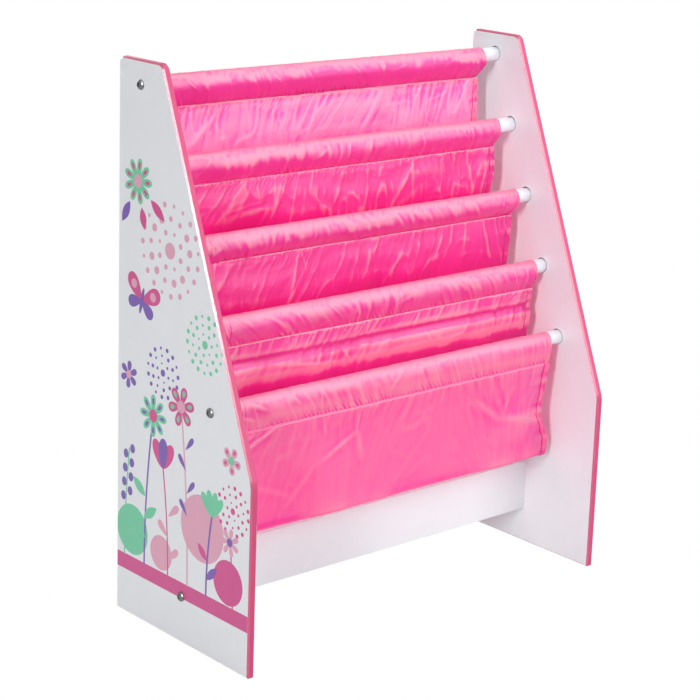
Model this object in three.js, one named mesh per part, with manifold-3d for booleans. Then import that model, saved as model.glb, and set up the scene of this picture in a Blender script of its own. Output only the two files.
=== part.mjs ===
// Children's sling bookshelf: two side panels, five rods, a bottom rail and four cloth slings.
// Millimetres, +Z up, +X to the right and the front at -Y.
// The origin is on the floor, at the middle of the width and of the depth.

import * as THREE from "three";
import { mergeVertices } from "three/addons/utils/BufferGeometryUtils.js";
import Module from "manifold-3d";

const wasm = await Module();
wasm.setup();

// Side panels
const height = 600;
const width = 510;
const depth = 230;
const panelThickness = 9;
const topDepth = 74;
const breakHeight = 205;
const topCornerRadius = 12;
const breakRadius = 26;
const footCornerRadius = 2;
const arrisRadius = 1.5;

// Rods: coated steel tubes on a line parallel to the slanted front edge
const rodCount = 5;
const rodDiameter = 16;
const rodWall = 1;
const rodPitch = 84;
const topRodDrop = 25;
const rodSetback = 42;
const socketDepth = 5;
const socketClearance = 0.5;
const rodEndPlay = 0.3;
const boltedRods = [1, rodCount];

// Bottom rail
const railHeight = 60;
const railThickness = 15;
const railLift = 41;
const railSetback = 105;
const railArris = 1.2;

// Button-head bolts, the same head everywhere
const boltDiameter = 6;
const boltHeadDiameter = 10.5;
const boltHeadHeight = 3.3;
const boltHeadRim = 0.8;
const boltTipChamfer = 0.8;
const rodBoltLength = 22;
const railBoltLength = 40;
const railBoltLift = 10.5;
const hexFlats = 4;
const hexSink = 2;

// Hidden joinery
const insertLength = 20;
const insertSink = 1;
const nutDiameter = 10;
const nutLength = 12;
const nutInset = 22;
const nutSlotWidth = 1.4;
const nutSlotDepth = 1.6;
const nutSink = 0.8;
const dowelDiameter = 8;
const dowelLength = 30;
const dowelInPanel = 5.5;
const dowelChamfer = 1;
const dowelDrop = 11;
const fitClearance = 0.3;

// Cloth
const clothEndGap = 20;
const clothThickness = 1;
const sleeveEase = 0.35;
const seamDrop = 25;
const seamTab = 6;
const slingDrop = 140;
const slingSpread = 3;
const slingFoldDepth = 1.6;
const slingSlump = 2.2;
const slingWaist = 6;
const endDrift = 5;
const foldWavesPerSling = [3, 2, 3, 2];
// How far each sleeve has crept along its rod, as shares of endDrift
const endDriftShare = [-1, -1, 0.1, 0.7, 0.1];
// How far each seam leans to the rear of its rod, as shares of seamDrop
const seamLeanShare = [0.15, 0.15, 0.26, 0, -0.26];
// Where each sling's back wall slumps, as a share of the way from its rear seam to its front seam
const slumpPlaceShare = [0.3, 0.26, 0.34, 0.24];
const slumpWidthShare = 0.07;
const foldPhaseShare = [0.1, 0.55, 0.3, 0.8];

// Facets and cuts
const roundSides = 24;
const cornerSteps = 3;
const arrisSteps = 2;
const headSteps = 3;
const hexSides = 6;
const sleeveSteps = 8;
const slingColumns = 18;
const backRows = 6;
const foldRows = 6;
const frontRows = 4;
const cutOverrun = 1;
const weldTolerance = 0.001;

// Sizes that follow from these
const innerHalf = width / 2 - panelThickness;
const clothWidth = 2 * (innerHalf - clothEndGap);
const front = -depth / 2;
const rear = depth / 2;
const rodRadius = rodDiameter / 2;
const socketRadius = rodRadius + socketClearance;
const boltRadius = boltDiameter / 2;
const boltHoleRadius = boltRadius + fitClearance;
const railFront = front + railSetback;
const railMiddle = railFront + railThickness / 2;
const railBoltHeight = railLift + railBoltLift;
const dowelHeight = railLift + railHeight - dowelDrop;
const dowelHoleRadius = dowelDiameter / 2 + fitClearance;
const rodHalf = innerHalf + socketDepth - rodEndPlay;
const nutMiddle = railFront + railThickness - nutSink - nutLength / 2;

const slant = Math.atan((depth - topDepth) / (height - breakHeight));
const downTheSlant = new THREE.Vector2(-Math.sin(slant), -Math.cos(slant));
const topFront = new THREE.Vector2(rear - topDepth, height);

// Where a rod's axis crosses the side panels, as (y, z); rod 1 is the highest.
function rodPlace(number) {
  const edgeToTopRod = topRodDrop * Math.tan(slant);
  const topRod = new THREE.Vector2(
    topFront.x - edgeToTopRod + rodSetback / Math.cos(slant),
    height - topRodDrop,
  );
  return topRod.addScaledVector(downTheSlant, rodPitch * (number - 1));
}

// The seam under a rod, where its sleeve closes and the slings begin, as (y, z).
function seamPlace(number) {
  const lean = seamDrop * seamLeanShare[number - 1];
  return rodPlace(number).add(new THREE.Vector2(lean, -seamDrop));
}

function clothMiddle(number) {
  return endDrift * endDriftShare[number - 1];
}

const painted = new THREE.MeshStandardMaterial({ color: 0xf1f1f3, roughness: 0.45 });
const coated = new THREE.MeshStandardMaterial({ color: 0xf4f7fb, roughness: 0.3 });
const plated = new THREE.MeshStandardMaterial({ color: 0xc9c9c6, roughness: 0.25, metalness: 1 });
const beech = new THREE.MeshStandardMaterial({ color: 0xd9b98a, roughness: 0.7 });
const nylon = new THREE.MeshStandardMaterial({ color: 0xfa5aa5, roughness: 0.4 });

function solidOf(geometry) {
  const bare = geometry.clone();
  bare.deleteAttribute("normal");
  bare.deleteAttribute("uv");
  const merged = mergeVertices(bare, weldTolerance);
  return new wasm.Manifold(
    new wasm.Mesh({
      numProp: 3,
      vertProperties: merged.attributes.position.array,
      triVerts: new Uint32Array(merged.index.array),
    }),
  );
}

function geometryOf(solid) {
  const mesh = solid.getMesh();
  const geometry = new THREE.BufferGeometry();
  geometry.setAttribute("position", new THREE.BufferAttribute(mesh.vertProperties, mesh.numProp));
  geometry.setIndex(new THREE.BufferAttribute(mesh.triVerts, 1));
  geometry.computeVertexNormals();
  return geometry;
}

function cut(geometry, cutters) {
  return geometryOf(cutters.reduce((left, cutter) => left.subtract(solidOf(cutter)), solidOf(geometry)));
}

function named(name, geometry, material) {
  const mesh = new THREE.Mesh(geometry, material);
  mesh.name = name;
  return mesh;
}

// Turns a profile's plane into the (y, z) plane, with the extrusion along +X.
const profileToSection = new THREE.Matrix4().makeBasis(
  new THREE.Vector3(0, 1, 0),
  new THREE.Vector3(0, 0, 1),
  new THREE.Vector3(1, 0, 0),
);

function extrudeAlongX(shape, length, arris = 0) {
  const geometry = new THREE.ExtrudeGeometry(shape, {
    depth: length - 2 * arris,
    steps: 1,
    curveSegments: cornerSteps,
    bevelEnabled: arris > 0,
    bevelThickness: arris,
    bevelSize: arris,
    bevelOffset: -arris,
    bevelSegments: arrisSteps,
  });
  return geometry.translate(0, 0, arris).applyMatrix4(profileToSection);
}

// A cylinder along X whose near end is at start.
function cylinderAlongX(radius, start, length, place = new THREE.Vector2()) {
  const geometry = new THREE.CylinderGeometry(radius, radius, length, roundSides);
  return geometry.rotateZ(-Math.PI / 2).translate(start + length / 2, place.x, place.y);
}

function latheAlongX(points) {
  return new THREE.LatheGeometry(points, roundSides).rotateZ(-Math.PI / 2);
}

// A closed outline through the corners, each rounded with its own radius.
function roundedOutline(corners) {
  const shape = new THREE.Shape();
  corners.forEach(({ at, radius }, i) => {
    const back = corners.at(i - 1).at.clone().sub(at).normalize();
    const ahead = corners[(i + 1) % corners.length].at.clone().sub(at).normalize();
    const half = Math.acos(back.dot(ahead)) / 2;
    const middle = back.clone().add(ahead).normalize();
    const centre = at.clone().addScaledVector(middle, radius / Math.sin(half));
    const reach = radius / Math.tan(half);
    const start = at.clone().addScaledVector(back, reach).sub(centre);
    const end = at.clone().addScaledVector(ahead, reach).sub(centre);
    const turnsClockwise = back.cross(ahead) > 0;
    shape.absarc(centre.x, centre.y, radius, start.angle(), end.angle(), turnsClockwise);
  });
  return shape;
}

function panelOutline() {
  return roundedOutline([
    { at: new THREE.Vector2(rear, 0), radius: footCornerRadius },
    { at: new THREE.Vector2(rear, height), radius: topCornerRadius },
    { at: topFront, radius: topCornerRadius },
    { at: new THREE.Vector2(front, breakHeight), radius: breakRadius },
    { at: new THREE.Vector2(front, 0), radius: footCornerRadius },
  ]);
}

// A panel lies with its inner face at x = 0 and its outer face at the panel thickness.
function sidePanel() {
  const cutters = [];
  for (let number = 1; number <= rodCount; number++) {
    const depthOfCut = socketDepth + cutOverrun;
    cutters.push(cylinderAlongX(socketRadius, -cutOverrun, depthOfCut, rodPlace(number)));
  }
  const throughLength = panelThickness + 2 * cutOverrun;
  for (const place of [...boltedRods.map(rodPlace), new THREE.Vector2(railMiddle, railBoltHeight)])
    cutters.push(cylinderAlongX(boltHoleRadius, -cutOverrun, throughLength, place));
  const dowelPlace = new THREE.Vector2(railMiddle, dowelHeight);
  const dowelHole = dowelInPanel + fitClearance + cutOverrun;
  cutters.push(cylinderAlongX(dowelHoleRadius, -cutOverrun, dowelHole, dowelPlace));
  return cut(extrudeAlongX(panelOutline(), panelThickness, arrisRadius), cutters);
}

function rodTube() {
  const ring = new THREE.Shape().absarc(0, 0, rodRadius, 0, 2 * Math.PI);
  ring.holes.push(new THREE.Path().absarc(0, 0, rodRadius - rodWall, 0, 2 * Math.PI, true));
  const tube = new THREE.ExtrudeGeometry(ring, {
    depth: 2 * rodHalf,
    steps: 1,
    curveSegments: roundSides / 2,
    bevelEnabled: false,
  });
  return tube.translate(0, 0, -rodHalf).applyMatrix4(profileToSection);
}

// The bolt's head stands out of x = 0 and its shank runs inwards, along -X.
function buttonBolt(length) {
  const headRadius = boltHeadDiameter / 2;
  const profile = [
    new THREE.Vector2(0, -length),
    new THREE.Vector2(boltRadius - boltTipChamfer, -length),
    new THREE.Vector2(boltRadius, boltTipChamfer - length),
    new THREE.Vector2(boltRadius, 0),
    new THREE.Vector2(headRadius, 0),
  ];
  const domeHeight = boltHeadHeight - boltHeadRim;
  for (let step = 0; step <= headSteps; step++) {
    const angle = ((Math.PI / 2) * step) / headSteps;
    const radius = step === headSteps ? 0 : headRadius * Math.cos(angle);
    profile.push(new THREE.Vector2(radius, boltHeadRim + domeHeight * Math.sin(angle)));
  }
  const hexRadius = hexFlats / 2 / Math.cos(Math.PI / hexSides);
  const hex = new THREE.CylinderGeometry(hexRadius, hexRadius, hexSink + cutOverrun, hexSides);
  hex.rotateZ(-Math.PI / 2).translate(boltHeadHeight + (cutOverrun - hexSink) / 2, 0, 0);
  return cut(latheAlongX(profile), [hex]);
}

// A threaded plug in the end of a bolted rod, with its outer end at x = 0.
function rodInsert() {
  const radius = rodRadius - rodWall - fitClearance;
  const body = cylinderAlongX(radius, -insertLength, insertLength);
  const bore = cylinderAlongX(boltHoleRadius, -insertLength - cutOverrun, insertLength + 2 * cutOverrun);
  return cut(body, [bore]);
}

function bottomRail() {
  const top = railLift + railHeight;
  const corners = [
    new THREE.Vector2(railFront, railLift),
    new THREE.Vector2(railFront + railThickness, railLift),
    new THREE.Vector2(railFront + railThickness, top),
    new THREE.Vector2(railFront, top),
  ];
  const section = roundedOutline(corners.map((at) => ({ at, radius: railArris })));
  const plank = extrudeAlongX(section, 2 * innerHalf).translate(-innerHalf, 0, 0);
  const boltPlace = new THREE.Vector2(railMiddle, railBoltHeight);
  const dowelPlace = new THREE.Vector2(railMiddle, dowelHeight);
  const boltBore = railBoltLength - panelThickness + fitClearance + cutOverrun;
  const dowelBore = dowelLength - dowelInPanel + fitClearance + cutOverrun;
  const nutBoreDepth = nutSink + nutLength + fitClearance;
  const cutters = [];
  for (const side of [-1, 1]) {
    const start = (length) => (side > 0 ? innerHalf + cutOverrun - length : -innerHalf - cutOverrun);
    cutters.push(cylinderAlongX(boltHoleRadius, start(boltBore), boltBore, boltPlace));
    cutters.push(cylinderAlongX(dowelHoleRadius, start(dowelBore), dowelBore, dowelPlace));
    const nutRadius = nutDiameter / 2 + fitClearance;
    const nutBore = new THREE.CylinderGeometry(nutRadius, nutRadius, nutBoreDepth + cutOverrun, roundSides);
    const nutBoreMiddle = railFront + railThickness + (cutOverrun - nutBoreDepth) / 2;
    cutters.push(nutBore.translate(side * (innerHalf - nutInset), nutBoreMiddle, railBoltHeight));
  }
  return cut(plank, cutters);
}

// The cross-dowel nut in the rail: its axis is along Y and its slotted end faces the rear.
function barrelNut() {
  const radius = nutDiameter / 2;
  const body = new THREE.CylinderGeometry(radius, radius, nutLength, roundSides);
  const boltPlace = new THREE.Vector2(railMiddle - nutMiddle, 0);
  const boreLength = nutDiameter + 2 * cutOverrun;
  const bore = cylinderAlongX(boltHoleRadius, -boreLength / 2, boreLength, boltPlace);
  const slotHeight = nutSlotDepth + cutOverrun;
  const slot = new THREE.BoxGeometry(boreLength, slotHeight, nutSlotWidth);
  slot.translate(0, nutLength / 2 + (cutOverrun - nutSlotDepth) / 2, 0);
  return cut(body, [bore, slot]);
}

// A wooden dowel, with its outer end at x = 0.
function railDowel() {
  const radius = dowelDiameter / 2;
  return latheAlongX([
    new THREE.Vector2(0, -dowelLength),
    new THREE.Vector2(radius - dowelChamfer, -dowelLength),
    new THREE.Vector2(radius, dowelChamfer - dowelLength),
    new THREE.Vector2(radius, -dowelChamfer),
    new THREE.Vector2(radius - dowelChamfer, 0),
    new THREE.Vector2(0, 0),
  ]);
}

// The angle at which a line from a point touches a circle round the origin.
function touchAngle(from, radius, side) {
  return from.angle() + side * Math.acos(radius / from.length());
}

// A loop of cloth over a rod that closes in a tip below it, as an outline round the rod's axis.
function loopOutline(outline, radius, tipFront, tipRear) {
  const startAngle = touchAngle(tipRear, radius, 1) - 2 * Math.PI;
  const endAngle = touchAngle(tipFront, radius, -1);
  return outline.absarc(0, 0, radius, startAngle, endAngle);
}

function rodSleeve(number) {
  const lean = seamDrop * seamLeanShare[number - 1];
  const innerRadius = rodRadius + sleeveEase;
  const outerRadius = innerRadius + clothThickness;
  const halfTab = clothThickness;
  const tipFront = new THREE.Vector2(lean - halfTab, -seamDrop);
  const tipRear = new THREE.Vector2(lean + halfTab, -seamDrop);
  const section = loopOutline(new THREE.Shape(), outerRadius, tipFront, tipRear);
  section.lineTo(tipFront.x, tipFront.y);
  section.lineTo(tipFront.x, tipFront.y - seamTab);
  section.lineTo(tipRear.x, tipRear.y - seamTab);
  section.lineTo(tipRear.x, tipRear.y);
  const tipLift = (clothThickness * seamDrop) / outerRadius;
  const innerTip = new THREE.Vector2(lean, tipLift - seamDrop);
  const hole = loopOutline(new THREE.Path(), innerRadius, innerTip, innerTip);
  hole.lineTo(innerTip.x, innerTip.y);
  section.holes.push(hole);
  const sleeve = new THREE.ExtrudeGeometry(section, {
    depth: clothWidth,
    steps: 1,
    curveSegments: sleeveSteps,
    bevelEnabled: false,
  });
  return sleeve.translate(0, 0, clothMiddle(number) - clothWidth / 2).applyMatrix4(profileToSection);
}

// A sling's section from its rear seam, down, round the fold and up to its front seam.
function slingStations(number) {
  const besideTab = clothThickness + fitClearance + clothThickness / 2;
  const rearSeam = seamPlace(number).add(new THREE.Vector2(-besideTab, 0));
  const frontSeam = seamPlace(number + 1).add(new THREE.Vector2(besideTab, 0));
  const rearSide = rearSeam.x - slingSpread;
  const frontSide = frontSeam.x + slingSpread;
  const foldRadius = (rearSide - frontSide) / 2;
  const foldHeight = rodPlace(number + 1).y - slingDrop + foldRadius;
  const foldMiddle = rearSide - foldRadius;
  const backRun = new THREE.LineCurve(rearSeam, new THREE.Vector2(rearSide, foldHeight));
  const fold = new THREE.EllipseCurve(foldMiddle, foldHeight, foldRadius, foldRadius, 0, Math.PI, true);
  const frontRun = new THREE.LineCurve(new THREE.Vector2(frontSide, foldHeight), frontSeam);
  const runs = [
    { curve: backRun, rows: backRows },
    { curve: fold, rows: foldRows },
    { curve: frontRun, rows: frontRows },
  ];
  const whole = runs.reduce((sum, { curve }) => sum + curve.getLength(), 0);
  const stations = [{ point: rearSeam, tangent: backRun.getTangent(0), share: 0 }];
  let travelled = 0;
  for (const { curve, rows } of runs) {
    for (let row = 1; row <= rows; row++) {
      const at = row / rows;
      const share = (travelled + curve.getLength() * at) / whole;
      stations.push({ point: curve.getPoint(at), tangent: curve.getTangent(at), share });
    }
    travelled += curve.getLength();
  }
  return stations;
}

// How far the cloth stands out of its section: waves across the width and a slump in the back wall.
function foldOffset(number, across, share) {
  const hang = Math.sin(Math.PI * share);
  const turns = foldWavesPerSling[number - 1] * across + foldPhaseShare[number - 1];
  const slumpAt = (share - slumpPlaceShare[number - 1]) / slumpWidthShare;
  const waves = slingFoldDepth * Math.sin(2 * Math.PI * turns) * hang;
  return waves - slingSlump * Math.exp(-slumpAt * slumpAt);
}

// A sling is a flat slab of cloth that is bent to its section, station by station.
function sling(number) {
  const stations = slingStations(number);
  const rows = stations.length - 1;
  const slab = new THREE.BoxGeometry(1, 1, 1, slingColumns, rows, 1);
  const position = slab.attributes.position;
  for (let i = 0; i < position.count; i++) {
    const across = position.getX(i);
    const { point, tangent, share } = stations[Math.round((0.5 + position.getY(i)) * rows)];
    const out = foldOffset(number, across, share) + clothThickness * position.getZ(i);
    const middle = THREE.MathUtils.lerp(clothMiddle(number), clothMiddle(number + 1), share);
    const span = clothWidth - slingWaist * Math.sin(Math.PI * share);
    position.setXYZ(i, middle + span * across, point.x - tangent.y * out, point.y + tangent.x * out);
  }
  return slab;
}

// Everything on the right-hand side; the left-hand side is its mirror image.
function sideAssembly(side) {
  const group = new THREE.Group();
  const panel = named(`${side}_side_panel`, sidePanel(), painted);
  panel.position.x = innerHalf;
  group.add(panel);
  for (const number of boltedRods) {
    const place = rodPlace(number);
    const insert = named(`${side}_rod_insert_${number}`, rodInsert(), plated);
    insert.position.set(rodHalf - insertSink, place.x, place.y);
    const bolt = named(`${side}_rod_bolt_${number}`, buttonBolt(rodBoltLength), plated);
    bolt.position.set(width / 2, place.x, place.y);
    group.add(insert, bolt);
  }
  const bolt = named(`${side}_rail_bolt`, buttonBolt(railBoltLength), plated);
  bolt.position.set(width / 2, railMiddle, railBoltHeight);
  const nut = named(`${side}_barrel_nut`, barrelNut(), plated);
  nut.position.set(innerHalf - nutInset, nutMiddle, railBoltHeight);
  const dowel = named(`${side}_rail_dowel`, railDowel(), beech);
  dowel.position.set(innerHalf + dowelInPanel, railMiddle, dowelHeight);
  group.add(bolt, nut, dowel);
  return group;
}

function frame() {
  const group = new THREE.Group();
  const rightSide = sideAssembly("right");
  const leftSide = sideAssembly("left");
  leftSide.scale.x = -1;
  group.add(rightSide, leftSide, named("bottom_rail", bottomRail(), painted));
  for (let number = 1; number <= rodCount; number++) {
    const rod = named(`rod_${number}`, rodTube(), coated);
    const place = rodPlace(number);
    rod.position.set(0, place.x, place.y);
    group.add(rod);
  }
  return group;
}

function cloth() {
  const group = new THREE.Group();
  for (let number = 1; number <= rodCount; number++) {
    const sleeve = named(`rod_sleeve_${number}`, rodSleeve(number), nylon);
    const place = rodPlace(number);
    sleeve.position.set(0, place.x, place.y);
    group.add(sleeve);
  }
  for (let number = 1; number < rodCount; number++)
    group.add(named(`pocket_sling_${number}`, sling(number), nylon));
  return group;
}

const bookshelf = new THREE.Group();
bookshelf.add(frame(), cloth());

export default bookshelf;
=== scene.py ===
"""Builds a children's sling bookshelf: painted side panels, rods, a bottom rail and four nylon slings."""

import math

import bmesh
import bpy
import numpy as np
from mathutils import Matrix, Vector


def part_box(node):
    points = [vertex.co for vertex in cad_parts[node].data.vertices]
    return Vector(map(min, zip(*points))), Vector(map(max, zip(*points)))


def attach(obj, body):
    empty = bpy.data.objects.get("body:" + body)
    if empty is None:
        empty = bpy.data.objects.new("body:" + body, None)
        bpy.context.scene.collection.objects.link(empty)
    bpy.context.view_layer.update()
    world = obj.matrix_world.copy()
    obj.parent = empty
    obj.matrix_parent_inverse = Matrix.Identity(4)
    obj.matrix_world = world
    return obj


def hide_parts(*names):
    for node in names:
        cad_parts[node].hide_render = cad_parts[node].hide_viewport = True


bl_info = {
    "name": "Sling Bookshelf",
    "version": (1, 0, 0),
    "blender": (4, 5, 0),
    "location": "View3D > Sidebar > Bookshelf",
    "description": "Builds a children's sling bookshelf piece by piece on its packed frame",
    "category": "Object",
}

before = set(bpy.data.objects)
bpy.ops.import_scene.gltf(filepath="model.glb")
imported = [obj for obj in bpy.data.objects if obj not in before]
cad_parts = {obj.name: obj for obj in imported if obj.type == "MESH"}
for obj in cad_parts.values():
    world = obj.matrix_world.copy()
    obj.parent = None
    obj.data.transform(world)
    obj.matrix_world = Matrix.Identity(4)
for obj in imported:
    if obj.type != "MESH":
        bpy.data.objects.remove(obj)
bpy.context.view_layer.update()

MM = 0.001
SIDES = {"left": -1, "right": 1}
ROD_COUNT = 5
BOLTED_RODS = (1, ROD_COUNT)
ROD_BODIES = {2: "second_rod", 3: "third_rod", 4: "fourth_rod"}


def middle_of(node):
    """The middle of a CAD node's box."""
    low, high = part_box(node)
    return (low + high) / 2


def size_of(node):
    """The size of a CAD node's box along each axis."""
    low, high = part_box(node)
    return high - low


ROD_PLACES = {n: middle_of(f"rod_{n}") for n in range(1, ROD_COUNT + 1)}
PANEL_LOW, PANEL_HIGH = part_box("right_side_panel")

# Joinery: radii of the bores, how deep they go into the panel or the rail, and the cutters' overrun
BOLT_BORE, DOWEL_BORE, NUT_BORE = 3.3 * MM, 4.3 * MM, 5.3 * MM
PANEL_DOWEL_DEPTH, RAIL_DOWEL_DEPTH, RAIL_BOLT_DEPTH = 5.8 * MM, 24.8 * MM, 31.3 * MM
NUT_GAP = 0.3 * MM
OVERRUN = 1 * MM
RAIL_ARRIS = 1.2 * MM

# How far each sleeve has crept along its rod
SLEEVE_DRIFT = {1: -5 * MM, 2: -5 * MM, 3: 0.5 * MM, 4: 3.5 * MM, 5: 0.5 * MM}
# How far its seam leans to the rear and how much higher than the others it sits
SEAM_LEAN = {1: 3.8 * MM, 2: 3.8 * MM, 3: 6.5 * MM, 4: 0.0, 5: -6.5 * MM}
SEAM_RISE = {1: 0.0, 2: 1.5 * MM, 3: 3.5 * MM, 4: 2 * MM, 5: 0.0}
# How far the ends of each sleeve slope in from the rod to the seam
SLEEVE_SLOPE = {1: 4 * MM, 2: 1.6 * MM, 3: 2.6 * MM, 4: 2.2 * MM, 5: 0.8 * MM}
# Painted light on the front of each sleeve below its rod, above 0, and painted shade, below 0
SLEEVE_PAINTED_LIGHT = {1: -1.4, 2: 0.04, 3: 0.1, 4: 0.2, 5: 0.6}
# The same for the back wall of each sling: painted light from the daylight behind the first, painted
# shade on the others
BACK_PAINTED_LIGHT = {1: 0.9, 2: -0.28, 3: -0.4, 4: -0.14}
# How deep the painted shade is in the short folds beside each sleeve's seam
SEAM_SHADE = {1: 2.6, 2: 1.7, 3: 1.7, 4: 1.7, 5: 0.8}
# How far the front of each sleeve swells out past its rod
SLEEVE_SWELL = {1: 2.2 * MM, 2: 1.8 * MM, 3: 1.2 * MM, 4: 1.6 * MM, 5: 1.4 * MM}


def colour(name, description, default):
    return bpy.props.FloatVectorProperty(
        name=name, description=description, subtype="COLOR", size=3, min=0, max=1, default=default
    )


def length(name, description, default):
    return bpy.props.FloatProperty(
        name=name, description=description, subtype="DISTANCE", unit="LENGTH", min=0, default=default
    )


def turn_angle(name, description, degrees):
    return bpy.props.FloatProperty(
        name=name, description=description, subtype="ANGLE", default=math.radians(degrees)
    )


def lamp_power(name, description, default):
    return bpy.props.FloatProperty(
        name=name, description=description, subtype="POWER", min=0, default=default
    )


def plain(name, description, default, **more):
    return bpy.props.FloatProperty(name=name, description=description, default=default, **more)


def settings_group(name, description, kind):
    return bpy.props.PointerProperty(name=name, description=description, type=kind)


class PanelSettings(bpy.types.PropertyGroup):
    """Sizes and paint of the two side panels."""

    top_depth: length("Top depth", "Depth of the panel at its top edge", 74 * MM)
    break_height: length("Break height", "Height where the slant meets the upright front edge", 205 * MM)
    rear_radius: length("Rear corner radius", "Radius of the top corner at the rear", 6 * MM)
    top_radius: length("Front corner radius", "Radius of the top corner above the slant", 9 * MM)
    break_radius: length("Break radius", "Radius where the slant meets the front edge", 26 * MM)
    foot_radius: length("Foot corner radius", "Radius of the corners at the floor", 2 * MM)
    arris: length("Arris", "Width that the chamfer takes off the face and off the edge", 1.8 * MM)
    socket_depth: length("Socket depth", "Depth of the blind sockets for the rods", 5 * MM)
    socket_gap: length("Socket gap", "Running gap round a rod in its socket", 0.8 * MM)
    face_paint: colour("Face paint", "Satin paint on the board's faces", (0.79, 0.805, 0.835))
    edge_lacquer: colour("Edge lacquer", "Gloss lacquer on the board's edge", (0.59, 0.07, 0.18))


class PrintSettings(bpy.types.PropertyGroup):
    """Inks and the plain band of the printed faces."""

    band_low: length("Band foot", "Height of the band's lower edge", 49.5 * MM)
    band_high: length("Band top", "Height of the band's upper edge", 67 * MM)
    magenta: colour("Magenta ink", "Ink of the band and the large petals", (0.63, 0.075, 0.27))
    mint: colour("Mint ink", "Ink of the leaves and discs", (0.16, 0.58, 0.36))
    purple: colour("Purple ink", "Ink of the stems and small petals", (0.19, 0.10, 0.42))
    blush: colour("Blush ink", "Ink of the pale petals and dots", (0.72, 0.36, 0.48))


class ClothSettings(bpy.types.PropertyGroup):
    """Sizes, dye and the painted light and shade colours of the sleeves and slings."""

    width: length("Width", "Finished width between the side hems", 452 * MM)
    hem: length("Hem", "Width of the turned side hems", 8 * MM)
    thickness: length("Thickness", "Thickness of one layer of nylon", 0.35 * MM)
    seam_drop: length("Seam drop", "From a rod's axis down to its seam", 26 * MM)
    sling_drop: length("Sling drop", "From a rod's axis down to the fold in front of it", 140 * MM)
    spacing: length("Vertex spacing", "Distance between vertices across the cloth", 1.2 * MM)
    stitch: length("Stitch length", "Length of one stitch", 2.9 * MM)
    dye: colour("Dye", "Colour of the nylon", (0.76, 0.006, 0.345))
    # Painted light: the colour mixed into the cloth over the rods, where the white rod and the highlight
    # show through, on crests that face the light and where daylight comes through
    painted_light_colour: colour("Pale dye", "Colour over the rods, on crests and against the light", (0.82, 0.35, 0.49))
    glow: colour("Light through", "Colour of light that passes through the nylon", (0.88, 0.08, 0.355))
    # Painted light: an emission that makes the cloth glow by itself, which keeps its shaded parts bright
    painted_glow: plain("Fluorescence", "How far the neon dye shines by itself", 0.19, min=0, max=1)
    thread: colour("Thread", "Colour of the thread in the seams", (0.96, 0.52, 0.70))
    # Painted shade: the hem thread is darkened to stand for the shade in the dents that the needle pulls
    # in
    hem_thread_painted_shade: colour("Hem thread", "Colour of the thread in the hems", (0.36, 0.01, 0.10))


class HardwareSettings(bpy.types.PropertyGroup):
    """Rods, bolts and the joinery inside the boards."""

    wall: length("Tube wall", "Wall of the steel rods", 1 * MM)
    coat: colour("Powder coat", "Coat on the rods", (0.87, 0.91, 0.96))
    plate: colour("Plating", "Dark bright plating of the bolts, nuts and inserts", (0.20, 0.20, 0.205))
    beech: colour("Beech", "Wood of the dowels", (0.60, 0.40, 0.22))
    head_radius: length("Head radius", "Radius of the button heads", 5.25 * MM)
    head_height: length("Head height", "Height of the button heads", 3.3 * MM)
    hex_flats: length("Hex key size", "Width across flats of the key socket", 4 * MM)


class StageSettings(bpy.types.PropertyGroup):
    """Camera, lamps and background."""

    lens: plain("Lens", "Focal length on a 36 mm sensor", 103.623, subtype="DISTANCE_CAMERA")
    place: bpy.props.FloatVectorProperty(
        name="Camera place", description="Where the camera stands", subtype="TRANSLATION", unit="LENGTH",
        size=3, default=(-1.42153, -1.56882, 0.87918),
    )
    azimuth: turn_angle("Azimuth", "Direction the camera looks in", 41.483)
    elevation: turn_angle("Elevation", "Downward tilt of the camera", 13.96)
    roll: turn_angle("Roll", "Roll of the camera", 1.944)
    shift_up: plain("Shift up", "Upward shift of the lens, in picture widths", -0.1)
    ambient: plain("Ambient", "Strength of the light from all round", 0.15, min=0)
    side_power: lamp_power("Side lamp", "Power of the tall lamp on the left", 111)
    edge_power: lamp_power("Edge lamp", "Power of the narrow lamp that shines in the edges", 12)
    front_power: lamp_power("Front lamp", "Power of the wide lamp in front", 32)
    top_power: lamp_power("Top lamp", "Power of the wide lamp overhead", 14)
    back_power: lamp_power("Back lamp", "Power of the wide lamp behind", 45)


class BookshelfSettings(bpy.types.PropertyGroup):
    """All settings of the bookshelf."""

    panel: settings_group("Panels", "Side panels", PanelSettings)
    print: settings_group("Print", "Printed faces", PrintSettings)
    cloth: settings_group("Cloth", "Sleeves and slings", ClothSettings)
    hardware: settings_group("Hardware", "Rods and fixings", HardwareSettings)
    stage: settings_group("Stage", "Camera, lamps, background", StageSettings)


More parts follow.
